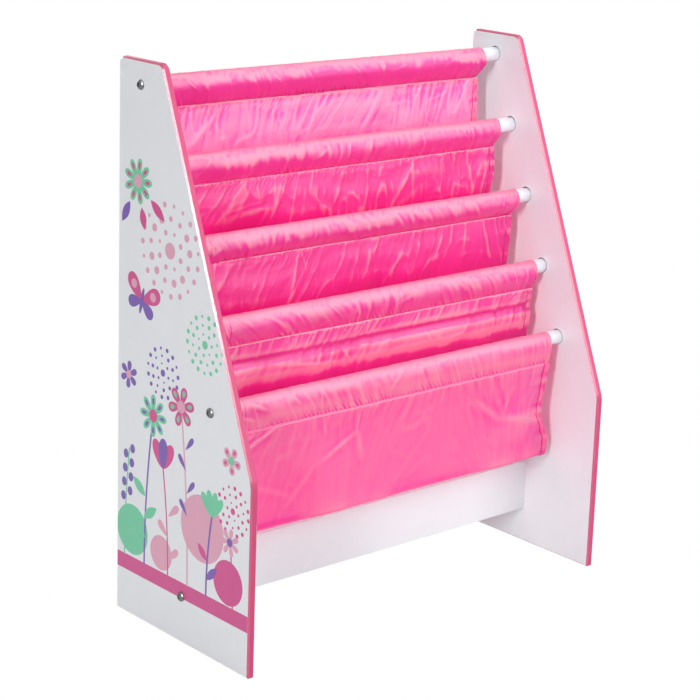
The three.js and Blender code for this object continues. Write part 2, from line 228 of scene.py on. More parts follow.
class Tree:
    """A node tree that is filled by short calls."""

    def __init__(self, tree):
        self.tree = tree
        tree.nodes.clear()

    def add(self, kind, inputs=None, **attributes):
        """A new node with its attributes set and its inputs filled, by name or by number."""
        node = self.tree.nodes.new(kind)
        for name, value in attributes.items():
            setattr(node, name, value)
        for name, value in (inputs or {}).items():
            self.put(node.inputs[name], value)
        return node

    def put(self, socket, value):
        """Links the socket to a socket or a node's first output, or gives it a value."""
        if isinstance(value, bpy.types.NodeSocket):
            self.tree.links.new(value, socket)
        elif isinstance(value, bpy.types.Node):
            self.tree.links.new(value.outputs[0], socket)
        elif socket.type == "RGBA" and len(value) == 3:
            socket.default_value = (*value, 1)
        else:
            socket.default_value = value

    def math(self, operation, *values, clamp=False):
        node = self.tree.nodes.new("ShaderNodeMath")
        node.operation = operation
        node.use_clamp = clamp
        for socket, value in zip(node.inputs, values):
            self.put(socket, value)
        return node.outputs[0]

    def ramp(self, value, low, high, to_low=0.0, to_high=1.0):
        """Eases from one number to another as the value goes from low to high."""
        node = self.add("ShaderNodeMapRange", interpolation_type="SMOOTHSTEP")
        for name, setting in zip(
            ("Value", "From Min", "From Max", "To Min", "To Max"), (value, low, high, to_low, to_high)
        ):
            self.put(node.inputs[name], setting)
        return node.outputs[0]

    def noise(self, vector, scale, detail=3.0, roughness=0.5):
        inputs = {"Vector": vector, "Scale": scale, "Detail": detail, "Roughness": roughness}
        return self.add("ShaderNodeTexNoise", inputs).outputs["Fac"]

    def stretch(self, vector, scale):
        return self.add("ShaderNodeMapping", {"Vector": vector, "Scale": scale}).outputs[0]

    def bump(self, strength, distance, height):
        return self.add("ShaderNodeBump", {"Strength": strength, "Distance": distance, "Height": height})

    def blend(self, factor, first, second):
        """A mix of two colours; the numbers are the colour sockets of the node."""
        return self.add("ShaderNodeMix", {0: factor, 6: first, 7: second}, data_type="RGBA").outputs[2]


def shared_group(name, inputs, outputs):
    """A new node group; returns it, its tree and the nodes that hold its inputs and outputs."""
    group = bpy.data.node_groups.new(name, "ShaderNodeTree")
    for socket, kind, default in inputs:
        made = group.interface.new_socket(socket, in_out="INPUT", socket_type=f"NodeSocket{kind}")
        if default is not None:
            made.default_value = default
    for socket, kind in outputs:
        group.interface.new_socket(socket, in_out="OUTPUT", socket_type=f"NodeSocket{kind}")
    tree = Tree(group)
    return group, tree, tree.add("NodeGroupInput"), tree.add("NodeGroupOutput")


def new_material(name):
    """A new material and the tree of its nodes."""
    material = bpy.data.materials.new(name)
    material.use_nodes = True
    return material, Tree(material.node_tree)


def coat_group():
    """Sprayed or rolled coat: fine orange peel, slow unevenness and a little mottling of its colour."""
    name = "Coat texture"
    if name in bpy.data.node_groups:
        return bpy.data.node_groups[name]
    group, tree, given, made = shared_group(
        name,
        (("Vector", "Vector", None), ("Colour", "Color", (1, 1, 1, 1)), ("Grain", "Float", 600.0),
         ("Mottle", "Float", 0.04)),
        (("Colour", "Color"), ("Height", "Float"), ("Roughness", "Float")),
    )
    place, mottle = given.outputs["Vector"], given.outputs["Mottle"]
    peel = tree.noise(place, given.outputs["Grain"], 2.0)
    slow = tree.noise(place, 14.0, 3.0)
    cloudy = tree.noise(place, 55.0, 4.0, 0.6)
    tone = 1.0
    for unevenness in (cloudy, slow):
        swing = tree.math("MULTIPLY", tree.math("SUBTRACT", unevenness, 0.5), mottle)
        tone = tree.math("ADD", tone, swing)
    bright = tree.add("ShaderNodeHueSaturation", {"Value": tone, "Color": given.outputs["Colour"]})
    tree.put(made.inputs["Colour"], bright)
    tree.put(made.inputs["Height"], tree.math("ADD", peel, tree.math("MULTIPLY", slow, 1.5)))
    tree.put(made.inputs["Roughness"], tree.math("MULTIPLY", tree.math("SUBTRACT", cloudy, 0.5), 0.16))
    return group


def coated(name, shade, roughness, grain, mottle, bump, coat_weight=0.0, shine=0.5):
    """A painted, lacquered or printed surface."""
    if name in bpy.data.materials:
        return bpy.data.materials[name]
    material, tree = new_material(name)
    place = tree.add("ShaderNodeTexCoord").outputs["Object"]
    coat = tree.add("ShaderNodeGroup", node_tree=coat_group())
    given = {"Vector": place, "Colour": (*shade, 1), "Grain": grain, "Mottle": mottle}
    for socket, value in given.items():
        tree.put(coat.inputs[socket], value)
    normal = tree.bump(bump, 0.2 * MM, coat.outputs["Height"])
    shader = tree.add("ShaderNodeBsdfPrincipled", {
        "Base Color": coat.outputs["Colour"],
        "Roughness": tree.math("ADD", coat.outputs["Roughness"], roughness, clamp=True),
        "Specular IOR Level": shine,
        "Coat Weight": coat_weight,
        "Coat Roughness": 0.08,
        "Normal": normal,
    })
    tree.add("ShaderNodeOutputMaterial", {"Surface": shader})
    return material


def fabric_group():
    """Plain weave and slubby threads of thin nylon, from a UV map in metres."""
    name = "Woven nylon"
    if name in bpy.data.node_groups:
        return bpy.data.node_groups[name]
    group, tree, given, made = shared_group(
        name,
        (("Vector", "Vector", None), ("Colour", "Color", (1, 1, 1, 1)),
         ("Threads per metre", "Float", 2600.0)),
        (("Colour", "Color"), ("Height", "Float"), ("Roughness", "Float")),
    )
    split = tree.add("ShaderNodeSeparateXYZ", {"Vector": given.outputs["Vector"]})
    turn = tree.math("MULTIPLY", given.outputs["Threads per metre"], math.pi)
    warp = tree.math("SINE", tree.math("MULTIPLY", split.outputs["X"], turn))
    weft = tree.math("SINE", tree.math("MULTIPLY", split.outputs["Y"], turn))
    weave = tree.math("MULTIPLY", warp, weft)
    slub = tree.noise(tree.stretch(given.outputs["Vector"], (420, 9, 1)), 1.0, 2.0)
    cross = tree.noise(tree.stretch(given.outputs["Vector"], (10, 330, 1)), 1.0, 2.0)
    crush = tree.noise(given.outputs["Vector"], 95.0, 5.0, 0.62)
    slanted = tree.add("ShaderNodeMapping", {
        "Vector": given.outputs["Vector"], "Rotation": (0, 0, 0.38), "Scale": (1 / 260, 1 / 34, 1)
    }, vector_type="TEXTURE")
    hair = tree.noise(slanted.outputs[0], 1.0, 3.0, 0.55)
    streak = tree.math("ADD", tree.math("MULTIPLY", slub, 0.17), tree.math("MULTIPLY", cross, 0.05))
    tone = tree.math("ADD", tree.math("ADD", streak, 0.89), tree.math("MULTIPLY", weave, 0.015))
    shade = tree.add("ShaderNodeHueSaturation", {"Value": tone, "Color": given.outputs["Colour"]})
    tree.put(made.inputs["Colour"], shade)
    height = tree.math("ADD", tree.math("MULTIPLY", weave, 0.05), tree.math("MULTIPLY", crush, 0.75))
    height = tree.math("ADD", height, tree.math("MULTIPLY", hair, 0.7))
    tree.put(made.inputs["Height"], tree.math("ADD", height, tree.math("MULTIPLY", slub, 0.25)))
    tree.put(made.inputs["Roughness"], tree.math("MULTIPLY", slub, 0.12))
    return group


def nylon():
    """Glossy dyed nylon that lets some light through, with painted light and shade from the cloth's mesh
    and a painted glow that keeps its shade bright.
    """
    name = "Pink nylon"
    if name in bpy.data.materials:
        return bpy.data.materials[name]
    cloth = bpy.context.scene.bookshelf.cloth
    # The first is the colour of the painted glow, the second that of the light that goes straight through
    # the weave
    neon, let_through = (1.0, 0.012, 0.35, 1), (1, 0.18, 0.42, 1)
    translucence, sheerness = 0.25, 0.22
    material, tree = new_material(name)
    place = tree.add("ShaderNodeUVMap", uv_map="UVMap").outputs[0]
    weave = tree.add("ShaderNodeGroup", node_tree=fabric_group())
    tree.put(weave.inputs["Vector"], place)
    # Painted light and shade, kept on the cloth's mesh: below 0 the dye is darkened as painted shade,
    # above 0 it is mixed towards the painted light colour
    painted_light = tree.add("ShaderNodeAttribute", attribute_name="Paleness").outputs["Fac"]
    deep = tree.add("ShaderNodeHueSaturation", {
        "Value": tree.math("ADD", 1.0, tree.math("MULTIPLY", tree.math("MINIMUM", painted_light, 0.0), 0.2)),
        "Color": (*cloth.dye, 1),
    })
    shade = tree.blend(tree.math("MAXIMUM", painted_light, 0.0, clamp=True), deep, (*cloth.painted_light_colour, 1))
    tree.put(weave.inputs["Colour"], shade)
    normal = tree.bump(0.6, 0.8 * MM, weave.outputs["Height"])
    shader = tree.add("ShaderNodeBsdfPrincipled", {
        "Base Color": weave.outputs["Colour"],
        "Roughness": tree.math("ADD", weave.outputs["Roughness"], 0.36),
        "IOR": 1.7,
        "Sheen Weight": 0.28,
        "Sheen Roughness": 0.5,
        # Painted light: the cloth glows by itself, with no lamp
        "Emission Color": neon,
        "Emission Strength": cloth.painted_glow,
        "Normal": normal,
    })
    glow = tree.add("ShaderNodeBsdfTranslucent", {"Color": (*cloth.glow, 1), "Normal": normal})
    mixed = tree.add("ShaderNodeMixShader", {0: translucence, 1: shader, 2: glow})
    # The weave is open enough for a little light to go straight through
    clear = tree.add("ShaderNodeBsdfTransparent", {"Color": let_through})
    sheer = tree.add("ShaderNodeMixShader", {0: sheerness, 1: mixed, 2: clear})
    tree.add("ShaderNodeOutputMaterial", {"Surface": sheer})
    return material


def plated():
    """Bright plating with fine turning marks."""
    name = "Bright plating"
    if name in bpy.data.materials:
        return bpy.data.materials[name]
    material, tree = new_material(name)
    place = tree.add("ShaderNodeTexCoord").outputs["Object"]
    spots = tree.noise(place, 900.0, 3.0, 0.6)
    turned = tree.noise(tree.stretch(place, (2600, 300, 300)), 1.0, 2.0)
    tone = tree.ramp(spots, 0.3, 0.7, 0.88, 1.05)
    shade = tree.add("ShaderNodeHueSaturation", {
        "Value": tone, "Color": (*bpy.context.scene.bookshelf.hardware.plate, 1)
    })
    normal = tree.bump(0.25, 0.05 * MM, turned)
    shader = tree.add("ShaderNodeBsdfPrincipled", {
        "Base Color": shade,
        "Metallic": 1.0,
        "Roughness": tree.ramp(spots, 0.3, 0.7, 0.14, 0.3),
        "Normal": normal,
    })
    tree.add("ShaderNodeOutputMaterial", {"Surface": shader})
    return material


def wood(name, shade, contrast):
    """Bare wood or fibre board, with its grain along X."""
    if name in bpy.data.materials:
        return bpy.data.materials[name]
    material, tree = new_material(name)
    place = tree.add("ShaderNodeTexCoord").outputs["Object"]
    grain = tree.noise(tree.stretch(place, (40, 900, 900)), 1.0, 4.0, 0.6)
    dark = tuple(channel * (1 - contrast) for channel in shade)
    shade = tree.blend(grain, (*dark, 1), (*shade, 1))
    normal = tree.bump(0.4, 0.1 * MM, grain)
    shader = tree.add("ShaderNodeBsdfPrincipled", {
        "Base Color": shade, "Roughness": tree.ramp(grain, 0.2, 0.8, 0.6, 0.8), "Normal": normal,
    })
    tree.add("ShaderNodeOutputMaterial", {"Surface": shader})
    return material


def face_paint():
    """Satin paint with a fine grain."""
    shade = bpy.context.scene.bookshelf.panel.face_paint
    return coated("White face paint", shade, roughness=0.38, grain=520.0, mottle=0.03, bump=0.22)


def lacquer(name, **finish):
    """Lacquer on the cut edges of a board."""
    shade = bpy.context.scene.bookshelf.panel.edge_lacquer
    return coated(name, shade, grain=260.0, mottle=0.08, bump=0.2, **finish)


def edge_lacquer():
    """Soft lacquer on the flat of the edge."""
    return lacquer("Pink edge lacquer", roughness=0.4, shine=0.2)


def rim_lacquer():
    """Glossier lacquer, where it runs over the chamfer."""
    return lacquer("Pink rim lacquer", roughness=0.2, coat_weight=1.0)


def raw_board():
    """Bare fibre board inside the sockets and bores."""
    return wood("Raw fibre board", (0.34, 0.27, 0.21), contrast=0.35)


def placed(name, data):
    """A new object of the scene that holds the data."""
    made = bpy.data.objects.new(name, data)
    bpy.context.scene.collection.objects.link(made)
    return made


def finished(name, bm, materials, smooth_angle=35.0):
    """Makes the bmesh an object whose place is in its mesh."""
    mesh = bpy.data.meshes.new(name)
    bm.to_mesh(mesh)
    bm.free()
    for material in materials:
        mesh.materials.append(material)
    mesh.shade_smooth()
    mesh.set_sharp_from_angle(angle=math.radians(smooth_angle))
    return placed(name, mesh)


def dress(node, material):
    """Gives a CAD node's object a material and keeps its mesh."""
    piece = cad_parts[node]
    if not piece.material_slots:
        piece.data.materials.append(material)
    for slot in piece.material_slots:
        slot.material = material


def cut_away(piece, cutters, smooth_angle=32.0):
    """Subtracts the cutter objects from the piece, applies it and shades the piece again."""
    for cutter in cutters:
        modifier = piece.modifiers.new("Cut", "BOOLEAN")
        modifier.operation = "DIFFERENCE"
        modifier.solver = "EXACT"
        modifier.object = cutter
    graph = bpy.context.evaluated_depsgraph_get()
    mesh = bpy.data.meshes.new_from_object(piece.evaluated_get(graph))
    piece.modifiers.clear()
    old = piece.data
    piece.data = mesh
    bpy.data.meshes.remove(old)
    mesh.name = piece.name
    for cutter in cutters:
        bpy.data.objects.remove(cutter)
    mesh.shade_smooth()
    mesh.set_sharp_from_angle(angle=math.radians(smooth_angle))


def level_with(place):
    """A point of the plane x = 0, at the height and depth of the place."""
    return Vector((0, place.y, place.z))


def bore(radius, start, end, place, material_index, sides=32, axis="X"):
    """A cylinder object along X or Y from start to end through the place, used as a cutter."""
    bm = bmesh.new()
    bmesh.ops.create_cone(
        bm, cap_ends=True, segments=sides, radius1=radius, radius2=radius, depth=abs(end - start)
    )
    turn = Matrix.Rotation(math.pi / 2, 4, "Y" if axis == "X" else "X")
    along = Vector(((start + end) / 2, 0, 0)) if axis == "X" else Vector((0, (start + end) / 2, 0))
    bmesh.ops.transform(bm, verts=bm.verts, matrix=Matrix.Translation(along + place) @ turn)
    for face in bm.faces:
        face.material_index = material_index
    mesh = bpy.data.meshes.new("bore")
    bm.to_mesh(mesh)
    bm.free()
    for _ in range(material_index + 1):
        mesh.materials.append(None)
    return placed("bore", mesh)


def revolved(profile, place, side=1, steps=48):
    """A bmesh of the profile, as (along, radius) pairs, spun about the X axis through place."""
    bm = bmesh.new()
    verts = [bm.verts.new((side * along, 0, radius)) for along, radius in profile]
    for start, end in zip(verts, verts[1:]):
        bm.edges.new((start, end))
    bmesh.ops.spin(
        bm, geom=bm.verts[:] + bm.edges[:], cent=(0, 0, 0), axis=(1, 0, 0), angle=2 * math.pi,
        steps=steps, use_merge=True,
    )
    bmesh.ops.remove_doubles(bm, verts=bm.verts, dist=1e-6)
    bmesh.ops.translate(bm, verts=bm.verts, vec=place)
    bmesh.ops.recalc_face_normals(bm, faces=bm.faces)
    return bm


def bevel(bm, geom, offset, segments, affect="EDGES", **more):
    """Rounds or chamfers edges or corners."""
    bmesh.ops.bevel(
        bm, geom=geom, offset=offset, offset_type="OFFSET", segments=segments, profile=0.5, affect=affect,
        material=-1, **more,
    )


def panel_outline():
    """The panel's corners as (y, z, radius), from the rear foot round to the front foot."""
    panel = bpy.context.scene.bookshelf.panel
    front, rear = PANEL_LOW.y, PANEL_HIGH.y
    return (
        (rear, PANEL_LOW.z, panel.foot_radius),
        (rear, PANEL_HIGH.z, panel.rear_radius),
        (rear - panel.top_depth, PANEL_HIGH.z, panel.top_radius),
        (front, panel.break_height, panel.break_radius),
        (front, PANEL_LOW.z, panel.foot_radius),
    )


def rounded_face(bm, x):
    """The panel's outline as one face, with its corners rounded."""
    outline = panel_outline()
    points = [Vector((x, y, z)) for y, z, _ in outline]
    verts = [bm.verts.new(point) for point in points]
    bm.faces.new(verts)
    for i, (*_, radius) in enumerate(outline):
        at = points[i]
        back = (points[i - 1] - at).normalized()
        ahead = (points[(i + 1) % len(points)] - at).normalized()
        reach = radius / math.tan(back.angle(ahead) / 2)
        corner = min(bm.verts, key=lambda vert: (vert.co - at).length)
        bevel(bm, [corner], reach, segments=14, affect="VERTICES")
    return bm.faces[:]


def side_panel(side):
    """A board with rounded corners, chamfered and lacquered edges, blind sockets and bores."""
    settings = bpy.context.scene.bookshelf.panel
    sign = SIDES[side]
    inner, outer = sign * PANEL_LOW.x, sign * PANEL_HIGH.x
    bm = bmesh.new()
    face = rounded_face(bm, inner)
    grown = bmesh.ops.extrude_face_region(bm, geom=face, use_keep_orig=True)
    moved = [item for item in grown["geom"] if isinstance(item, bmesh.types.BMVert)]
    bmesh.ops.translate(bm, verts=moved, vec=(outer - inner, 0, 0))
    bmesh.ops.recalc_face_normals(bm, faces=bm.faces)
    rims = [
        edge for edge in bm.edges
        if len({round(vert.co.x, 6) for vert in edge.verts}) == 1 and len(edge.link_faces) == 2
    ]
    bevel(bm, rims, settings.arris, segments=1, clamp_overlap=True)
    face_slot, edge_slot, raw_slot, rim_slot = range(4)
    for item in bm.faces:
        level = abs(item.normal.x)
        item.material_index = face_slot if level > 0.999 else rim_slot if level > 0.3 else edge_slot
    piece = finished(f"{side}_side_board", bm, [face_paint(), edge_lacquer(), raw_board(), rim_lacquer()])
    over = sign * OVERRUN
    slack = Vector((0, 0.1 * MM, 0.3 * MM))
    cutters = []
    for number, place in ROD_PLACES.items():
        radius = size_of(f"rod_{number}").z / 2 + settings.socket_gap
        floor = inner + sign * settings.socket_depth
        cutters.append(bore(radius, inner - over, floor, level_with(place) + slack, raw_slot, 64))
        if number in BOLTED_RODS:
            cutters.append(bore(BOLT_BORE, inner - over, outer + over, level_with(place), raw_slot))
    bolt, dowel = (level_with(middle_of(f"{side}_{part}")) for part in ("rail_bolt", "rail_dowel"))
    cutters.append(bore(BOLT_BORE, inner - over, outer + over, bolt, raw_slot))
    cutters.append(bore(DOWEL_BORE, inner - over, inner + sign * PANEL_DOWEL_DEPTH, dowel, raw_slot))
    cut_away(piece, cutters)
    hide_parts(f"{side}_side_panel")
    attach(piece, "root")


class BOOKSHELF_OT_side_panels(bpy.types.Operator):
    """Make both side panels, with lacquered edges and blind sockets"""

    bl_idname = "bookshelf.side_panels"
    bl_label = "Side Panels"
    bl_options = {"REGISTER", "UNDO"}

    def execute(self, context):
        for side in SIDES:
            side_panel(side)
        return {"FINISHED"}


# The print: flat shapes in (y, z) millimetres on the outer face, each on its own layer of ink

INKS = ("magenta", "mint", "purple", "blush")
PETAL_LAYER = 0.14
DOT_LAYER = 0.07
BAND_LAYER = 0.06
HEART_SHARE = 0.3
# How far a shape reaches down into the paint, and how far inside the board's chamfer the print ends
INK_FOOT = -0.02
INK_MARGIN = 0.1


def step_from(place, angle, reach):
    """The point at that reach from the place, with the angle measured from upright."""
    return place[0] - math.sin(angle) * reach, place[1] + math.cos(angle) * reach


class Print:
    """Collects the flat shapes of one printed face."""

    def __init__(self):
        self.bm = bmesh.new()

    def disc(self, ink, layer, centre, radius, tall=1.0, turn=0.0, segments=32, shape=None):
        """A disc, or what shape makes of each point of its rim, stretched to tall and turned."""
        matrix = Matrix.Translation((centre[0], centre[1], layer)) @ Matrix.Rotation(turn, 4, "Z")
        made = bmesh.ops.create_circle(self.bm, cap_ends=True, segments=segments, radius=1.0)
        verts = made["verts"]
        if shape:
            for vert in verts:
                vert.co.x, vert.co.y = shape(vert.co.x, vert.co.y)
        for vert in verts:
            vert.co.x *= radius
            vert.co.y *= radius * tall
        bmesh.ops.transform(self.bm, verts=verts, matrix=matrix)
        for face in {face for vert in verts for face in vert.link_faces}:
            face.material_index = INKS.index(ink)

    def drawn_out(self, ink, layer, foot, angle, length, width, shape):
        """A disc drawn out from its foot in the direction of the angle, with its sides set by shape."""
        centre = step_from(foot, angle, length / 2)
        self.disc(ink, layer, centre, width / 2, length / width, angle, 36, shape)

    def petal(self, ink, layer, foot, angle, length, width, point):
        """A petal from its foot outwards; point 0 gives an ellipse and 1 a drop with a sharp foot."""

        def drop(x, y):
            rise = (y + 1) / 2
            return x * (1 - point + point * rise ** 0.9), y

        self.drawn_out(ink, layer, foot, angle, length, width, drop)

    def leaf(self, ink, layer, foot, angle, length, width):
        """A leaf with a point at both ends."""

        def lens(x, y):
            return math.copysign((1 - y * y) ** 1.05, x) if abs(x) > 1e-6 else 0.0, y

        self.drawn_out(ink, layer, foot, angle, length, width, lens)

    def stem(self, ink, layer, foot, height, lean, width):
        """A curved stem that leans sideways by lean at its top; returns the place of its tip."""
        bm = self.bm
        radius = (height * height + lean * lean) / (2 * abs(lean))
        angle = math.asin(height / radius)
        sign = 1 if lean > 0 else -1
        centre = Vector((foot[0] + sign * radius, foot[1], layer))
        start = [bm.verts.new((foot[0] + across, foot[1], layer)) for across in (-width / 2, width / 2)]
        edge = bm.edges.new(start)
        before = set(bm.faces)
        bmesh.ops.spin(
            bm, geom=[*start, edge], cent=centre, axis=(0, 0, -sign), angle=angle, steps=28,
            use_duplicate=False,
        )
        for face in set(bm.faces) - before:
            face.material_index = INKS.index(ink)
        return foot[0] + sign * radius * (1 - math.cos(angle)), foot[1] + radius * math.sin(angle)

    def strip(self, ink, layer, corners):
        """A flat shape with straight sides between its corners."""
        verts = [self.bm.verts.new((across, up, layer)) for across, up in corners]
        self.bm.faces.new(verts).material_index = INKS.index(ink)

    def daisy(self, centre, petals, reach, width, ink, heart, turn=0.0, pip=None):
        """Petals round a heart, with a small petal of the ink pip on each."""
        for i in range(petals):
            angle = turn + 2 * math.pi * i / petals
            self.petal(ink, PETAL_LAYER + 0.01 * (i % 3), centre, angle, reach, width, 0.8)
            if pip:
                foot = step_from(centre, angle, reach * 0.5)
                self.petal(pip, PETAL_LAYER + 0.04, foot, angle, reach * 0.34, width * 0.4, 0.5)
        self.disc(heart, PETAL_LAYER + 0.06, centre, reach * HEART_SHARE)

    def seed_head(self, centre, ink, heart, rings):
        """Rings of dots, as (radius, count, dot's radius), round a larger dot."""
        self.disc(ink, DOT_LAYER, centre, heart)
        for away, count, size in rings:
            for i in range(count):
                angle = 2 * math.pi * (i + away * 0.13) / count
                dot = (centre[0] + away * math.cos(angle), centre[1] + away * math.sin(angle))
                self.disc(ink, DOT_LAYER, dot, size * (1 if i % 3 else 0.7), segments=16)


def draw_motifs(sheet):
    """Meadow of daisies, tulips, leaf sprigs, a butterfly and drifting dots above a plain band."""
    # Low discs that stand for distant bushes
    sheet.disc("mint", 0.04, (86, 98), 28)
    sheet.disc("blush", 0.045, (-36, 136), 36)
    sheet.disc("blush", 0.05, (34, 88), 19)
    sheet.disc("magenta", 0.055, (-80, 92), 24)

    # Stems, with the flowers on their tips
    tip = sheet.stem("purple", 0.08, (64, 66), 168, -14, 2.6)
    sheet.daisy(tip, 8, 23, 12, "mint", "magenta", pip="purple")
    for height, side in ((96, 1), (118, -1), (142, 1)):
        sheet.leaf("mint", 0.1 + 0.004 * side, (64 - 1.5 * side, height), -side * 0.95, 28, 11)
    tip = sheet.stem("magenta", 0.085, (22, 66), 116, 10, 2.0)
    for i, (ink, angle) in enumerate((("magenta", 0.52), ("magenta", -0.52), ("purple", 0.0))):
        sheet.petal(ink, PETAL_LAYER + 0.01 * i, tip, angle, 32, 18, 0.35)
    for i, (height, side) in enumerate(((84, -1), (108, 1), (132, -1))):
        sheet.petal("blush", 0.1 + 0.004 * i, (22, height), -side * 0.85, 23, 12, 0.9)
    tip = sheet.stem("blush", 0.09, (-12, 66), 190, 14, 2.2)
    sheet.daisy(tip, 6, 22, 15, "magenta", "blush", pip="mint", turn=0.3)
    for i, (height, side) in enumerate(((142, 1), (166, -1), (190, 1), (212, -1))):
        foot = (-10 + (height - 150) * 0.06, height)
        sheet.petal("purple", 0.12 + 0.004 * i, foot, -side * 0.7, 20, 9, 0.9)
    tip = sheet.stem("purple", 0.095, (-44, 66), 88, -8, 2.6)
    for i, angle in enumerate((-0.66, 0.66, -0.22, 0.22)):
        sheet.petal("mint", 0.12 + 0.01 * i, tip, angle, 28, 12, 0.45)
    sheet.leaf("purple", 0.11, (-44, 84), 0.8, 25, 9)
    sheet.leaf("magenta", 0.115, (-45, 104), -0.8, 22, 8.5)
    tip = sheet.stem("mint", 0.1, (100, 66), 122, -8, 2.0)
    for i in range(8):
        rise = tip[1] - 8 * i
        sheet.disc("purple", 0.12, (tip[0] + (5.6 if i % 2 else -5.6) + i * 0.7, rise), 4.2, 1.2)
    tip = sheet.stem("magenta", 0.105, (-88, 66), 70, 6, 2.0)
    sheet.daisy(tip, 7, 15, 8.5, "blush", "purple", turn=0.2)

    # Butterfly
    centre, tilt = (72, 352), 0.25
    for i, side in enumerate((-1, 1)):
        upper, lower = side * 0.95 + tilt, side * 2.0 + tilt
        sheet.petal("magenta", 0.1 + 0.01 * i, centre, upper, 34, 24, 0.7)
        sheet.petal("purple", 0.13 + 0.01 * i, centre, lower, 24, 18, 0.7)
        sheet.disc("blush", 0.16, step_from(centre, upper, 21), 5)
    sheet.disc("purple", 0.18, centre, 2.8, 5.2, tilt)

    # Loose flowers higher on the face
    centre = (80, 476)
    sheet.daisy(centre, 9, 24, 12, "mint", "blush", pip="magenta", turn=0.15)
    leaves = (("magenta", 2.2, 30), ("purple", -2.6, 27), ("magenta", 2.9, 23))
    for i, (ink, angle, length) in enumerate(leaves):
        sheet.leaf(ink, 0.1 + 0.004 * i, step_from(centre, angle, 27), angle, length, 11)
    sheet.daisy((-82, 222), 5, 15, 12, "blush", "mint", pip="magenta", turn=0.5)
    sheet.daisy((94, 268), 6, 15, 10, "purple", "blush", turn=0.1)

    # Seed heads
    sheet.seed_head((24, 414), "blush", 8.5, ((19, 8, 3.0), (33, 13, 4.2), (47, 19, 3.1)))
    sheet.seed_head((-36, 330), "mint", 4.5, ((11, 7, 1.9), (20, 12, 2.3), (29, 17, 2.5)))
    sheet.seed_head((-86, 170), "magenta", 3.5, ((9, 6, 1.7), (17, 11, 2.0), (25, 16, 2.3)))
    sheet.seed_head((34, 284), "purple", 3.8, ((10, 6, 1.7), (18, 10, 2.2), (26, 15, 2.4)))


def printed_face(side):
    """The print of one outer face, kept inside the board's outline."""
    settings = bpy.context.scene.bookshelf.print
    sign = SIDES[side]
    face = sign * PANEL_HIGH.x
    sheet = Print()
    draw_motifs(sheet)
    bm = sheet.bm
    front, rear = PANEL_LOW.y / MM, PANEL_HIGH.y / MM
    edge = bpy.context.scene.bookshelf.panel.arris / MM + INK_MARGIN
    low, high = settings.band_low / MM, settings.band_high / MM
    corners = [(front + edge, low), (rear - edge, low), (rear - edge, high), (front + edge, high)]
    sheet.strip("magenta", BAND_LAYER, corners)
    # Cut the shapes along the board's edges, as a screen print ends
    outline = panel_outline()
    slant_head, slant_foot = (Vector(corner[:2]) / MM for corner in outline[2:4])
    slant = (slant_head - slant_foot).normalized()
    outwards = Vector((-slant.y, slant.x, 0))
    for place, normal in (
        (Vector((front + edge, 0, 0)), Vector((-1, 0, 0))),
        (Vector((rear - edge, 0, 0)), Vector((1, 0, 0))),
        (slant_foot.to_3d() - edge * outwards, outwards),
    ):
        everything = bm.verts[:] + bm.edges[:] + bm.faces[:]
        bmesh.ops.bisect_plane(bm, geom=everything, plane_co=place, plane_no=normal, clear_outer=True)
    bmesh.ops.recalc_face_normals(bm, faces=bm.faces)
    for item in bm.faces:
        if item.normal.z < 0:
            item.normal_flip()
    # Each shape gets the thickness of its layer, down into the paint
    grown = bmesh.ops.extrude_face_region(bm, geom=bm.faces[:], use_keep_orig=True)
    below = [item for item in grown["geom"] if isinstance(item, bmesh.types.BMVert)]
    for vert in below:
        vert.co.z = INK_FOOT
    place = Matrix(((0, 0, sign * MM, face), (MM, 0, 0, 0), (0, MM, 0, 0), (0, 0, 0, 1)))
    bmesh.ops.transform(bm, verts=bm.verts, matrix=place)
    bmesh.ops.recalc_face_normals(bm, faces=bm.faces)
    finish = {"roughness": 0.33, "grain": 700.0, "mottle": 0.07, "bump": 0.15}
    materials = [coated(f"Print ink {ink}", getattr(settings, ink), **finish) for ink in INKS]
    piece = finished(f"{side}_panel_print", bm, materials)
    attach(piece, "root")


class BOOKSHELF_OT_prints(bpy.types.Operator):
    """Print the outer faces of both panels with a meadow and a plain band"""

    bl_idname = "bookshelf.prints"
    bl_label = "Prints"
    bl_options = {"REGISTER", "UNDO"}

    def execute(self, context):
        for side in SIDES:
            printed_face(side)
        return {"FINISHED"}


class BOOKSHELF_OT_rods(bpy.types.Operator):
    """Make the five powder-coated tubes"""

    bl_idname = "bookshelf.rods"
    bl_label = "Rods"
    bl_options = {"REGISTER", "UNDO"}

    def execute(self, context):
        settings = context.scene.bookshelf.hardware
        coat = coated(
            "White powder coat", settings.coat, roughness=0.3, grain=1400.0, mottle=0.02, bump=0.3
        )
        for number, place in ROD_PLACES.items():
            size = size_of(f"rod_{number}")
            half, outer = size.x / 2, size.z / 2
            inner, lip = outer - settings.wall, 0.2 * MM
            profile = [
                (-half, inner), (-half, outer - lip), (lip - half, outer),
                (half - lip, outer), (half, outer - lip), (half, inner), (-half, inner),
            ]
            bm = revolved(profile, place, steps=64)
            piece = finished(f"steel_rod_{number}", bm, [coat])
            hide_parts(f"rod_{number}")
            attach(piece, ROD_BODIES.get(number, "root"))
        return {"FINISHED"}


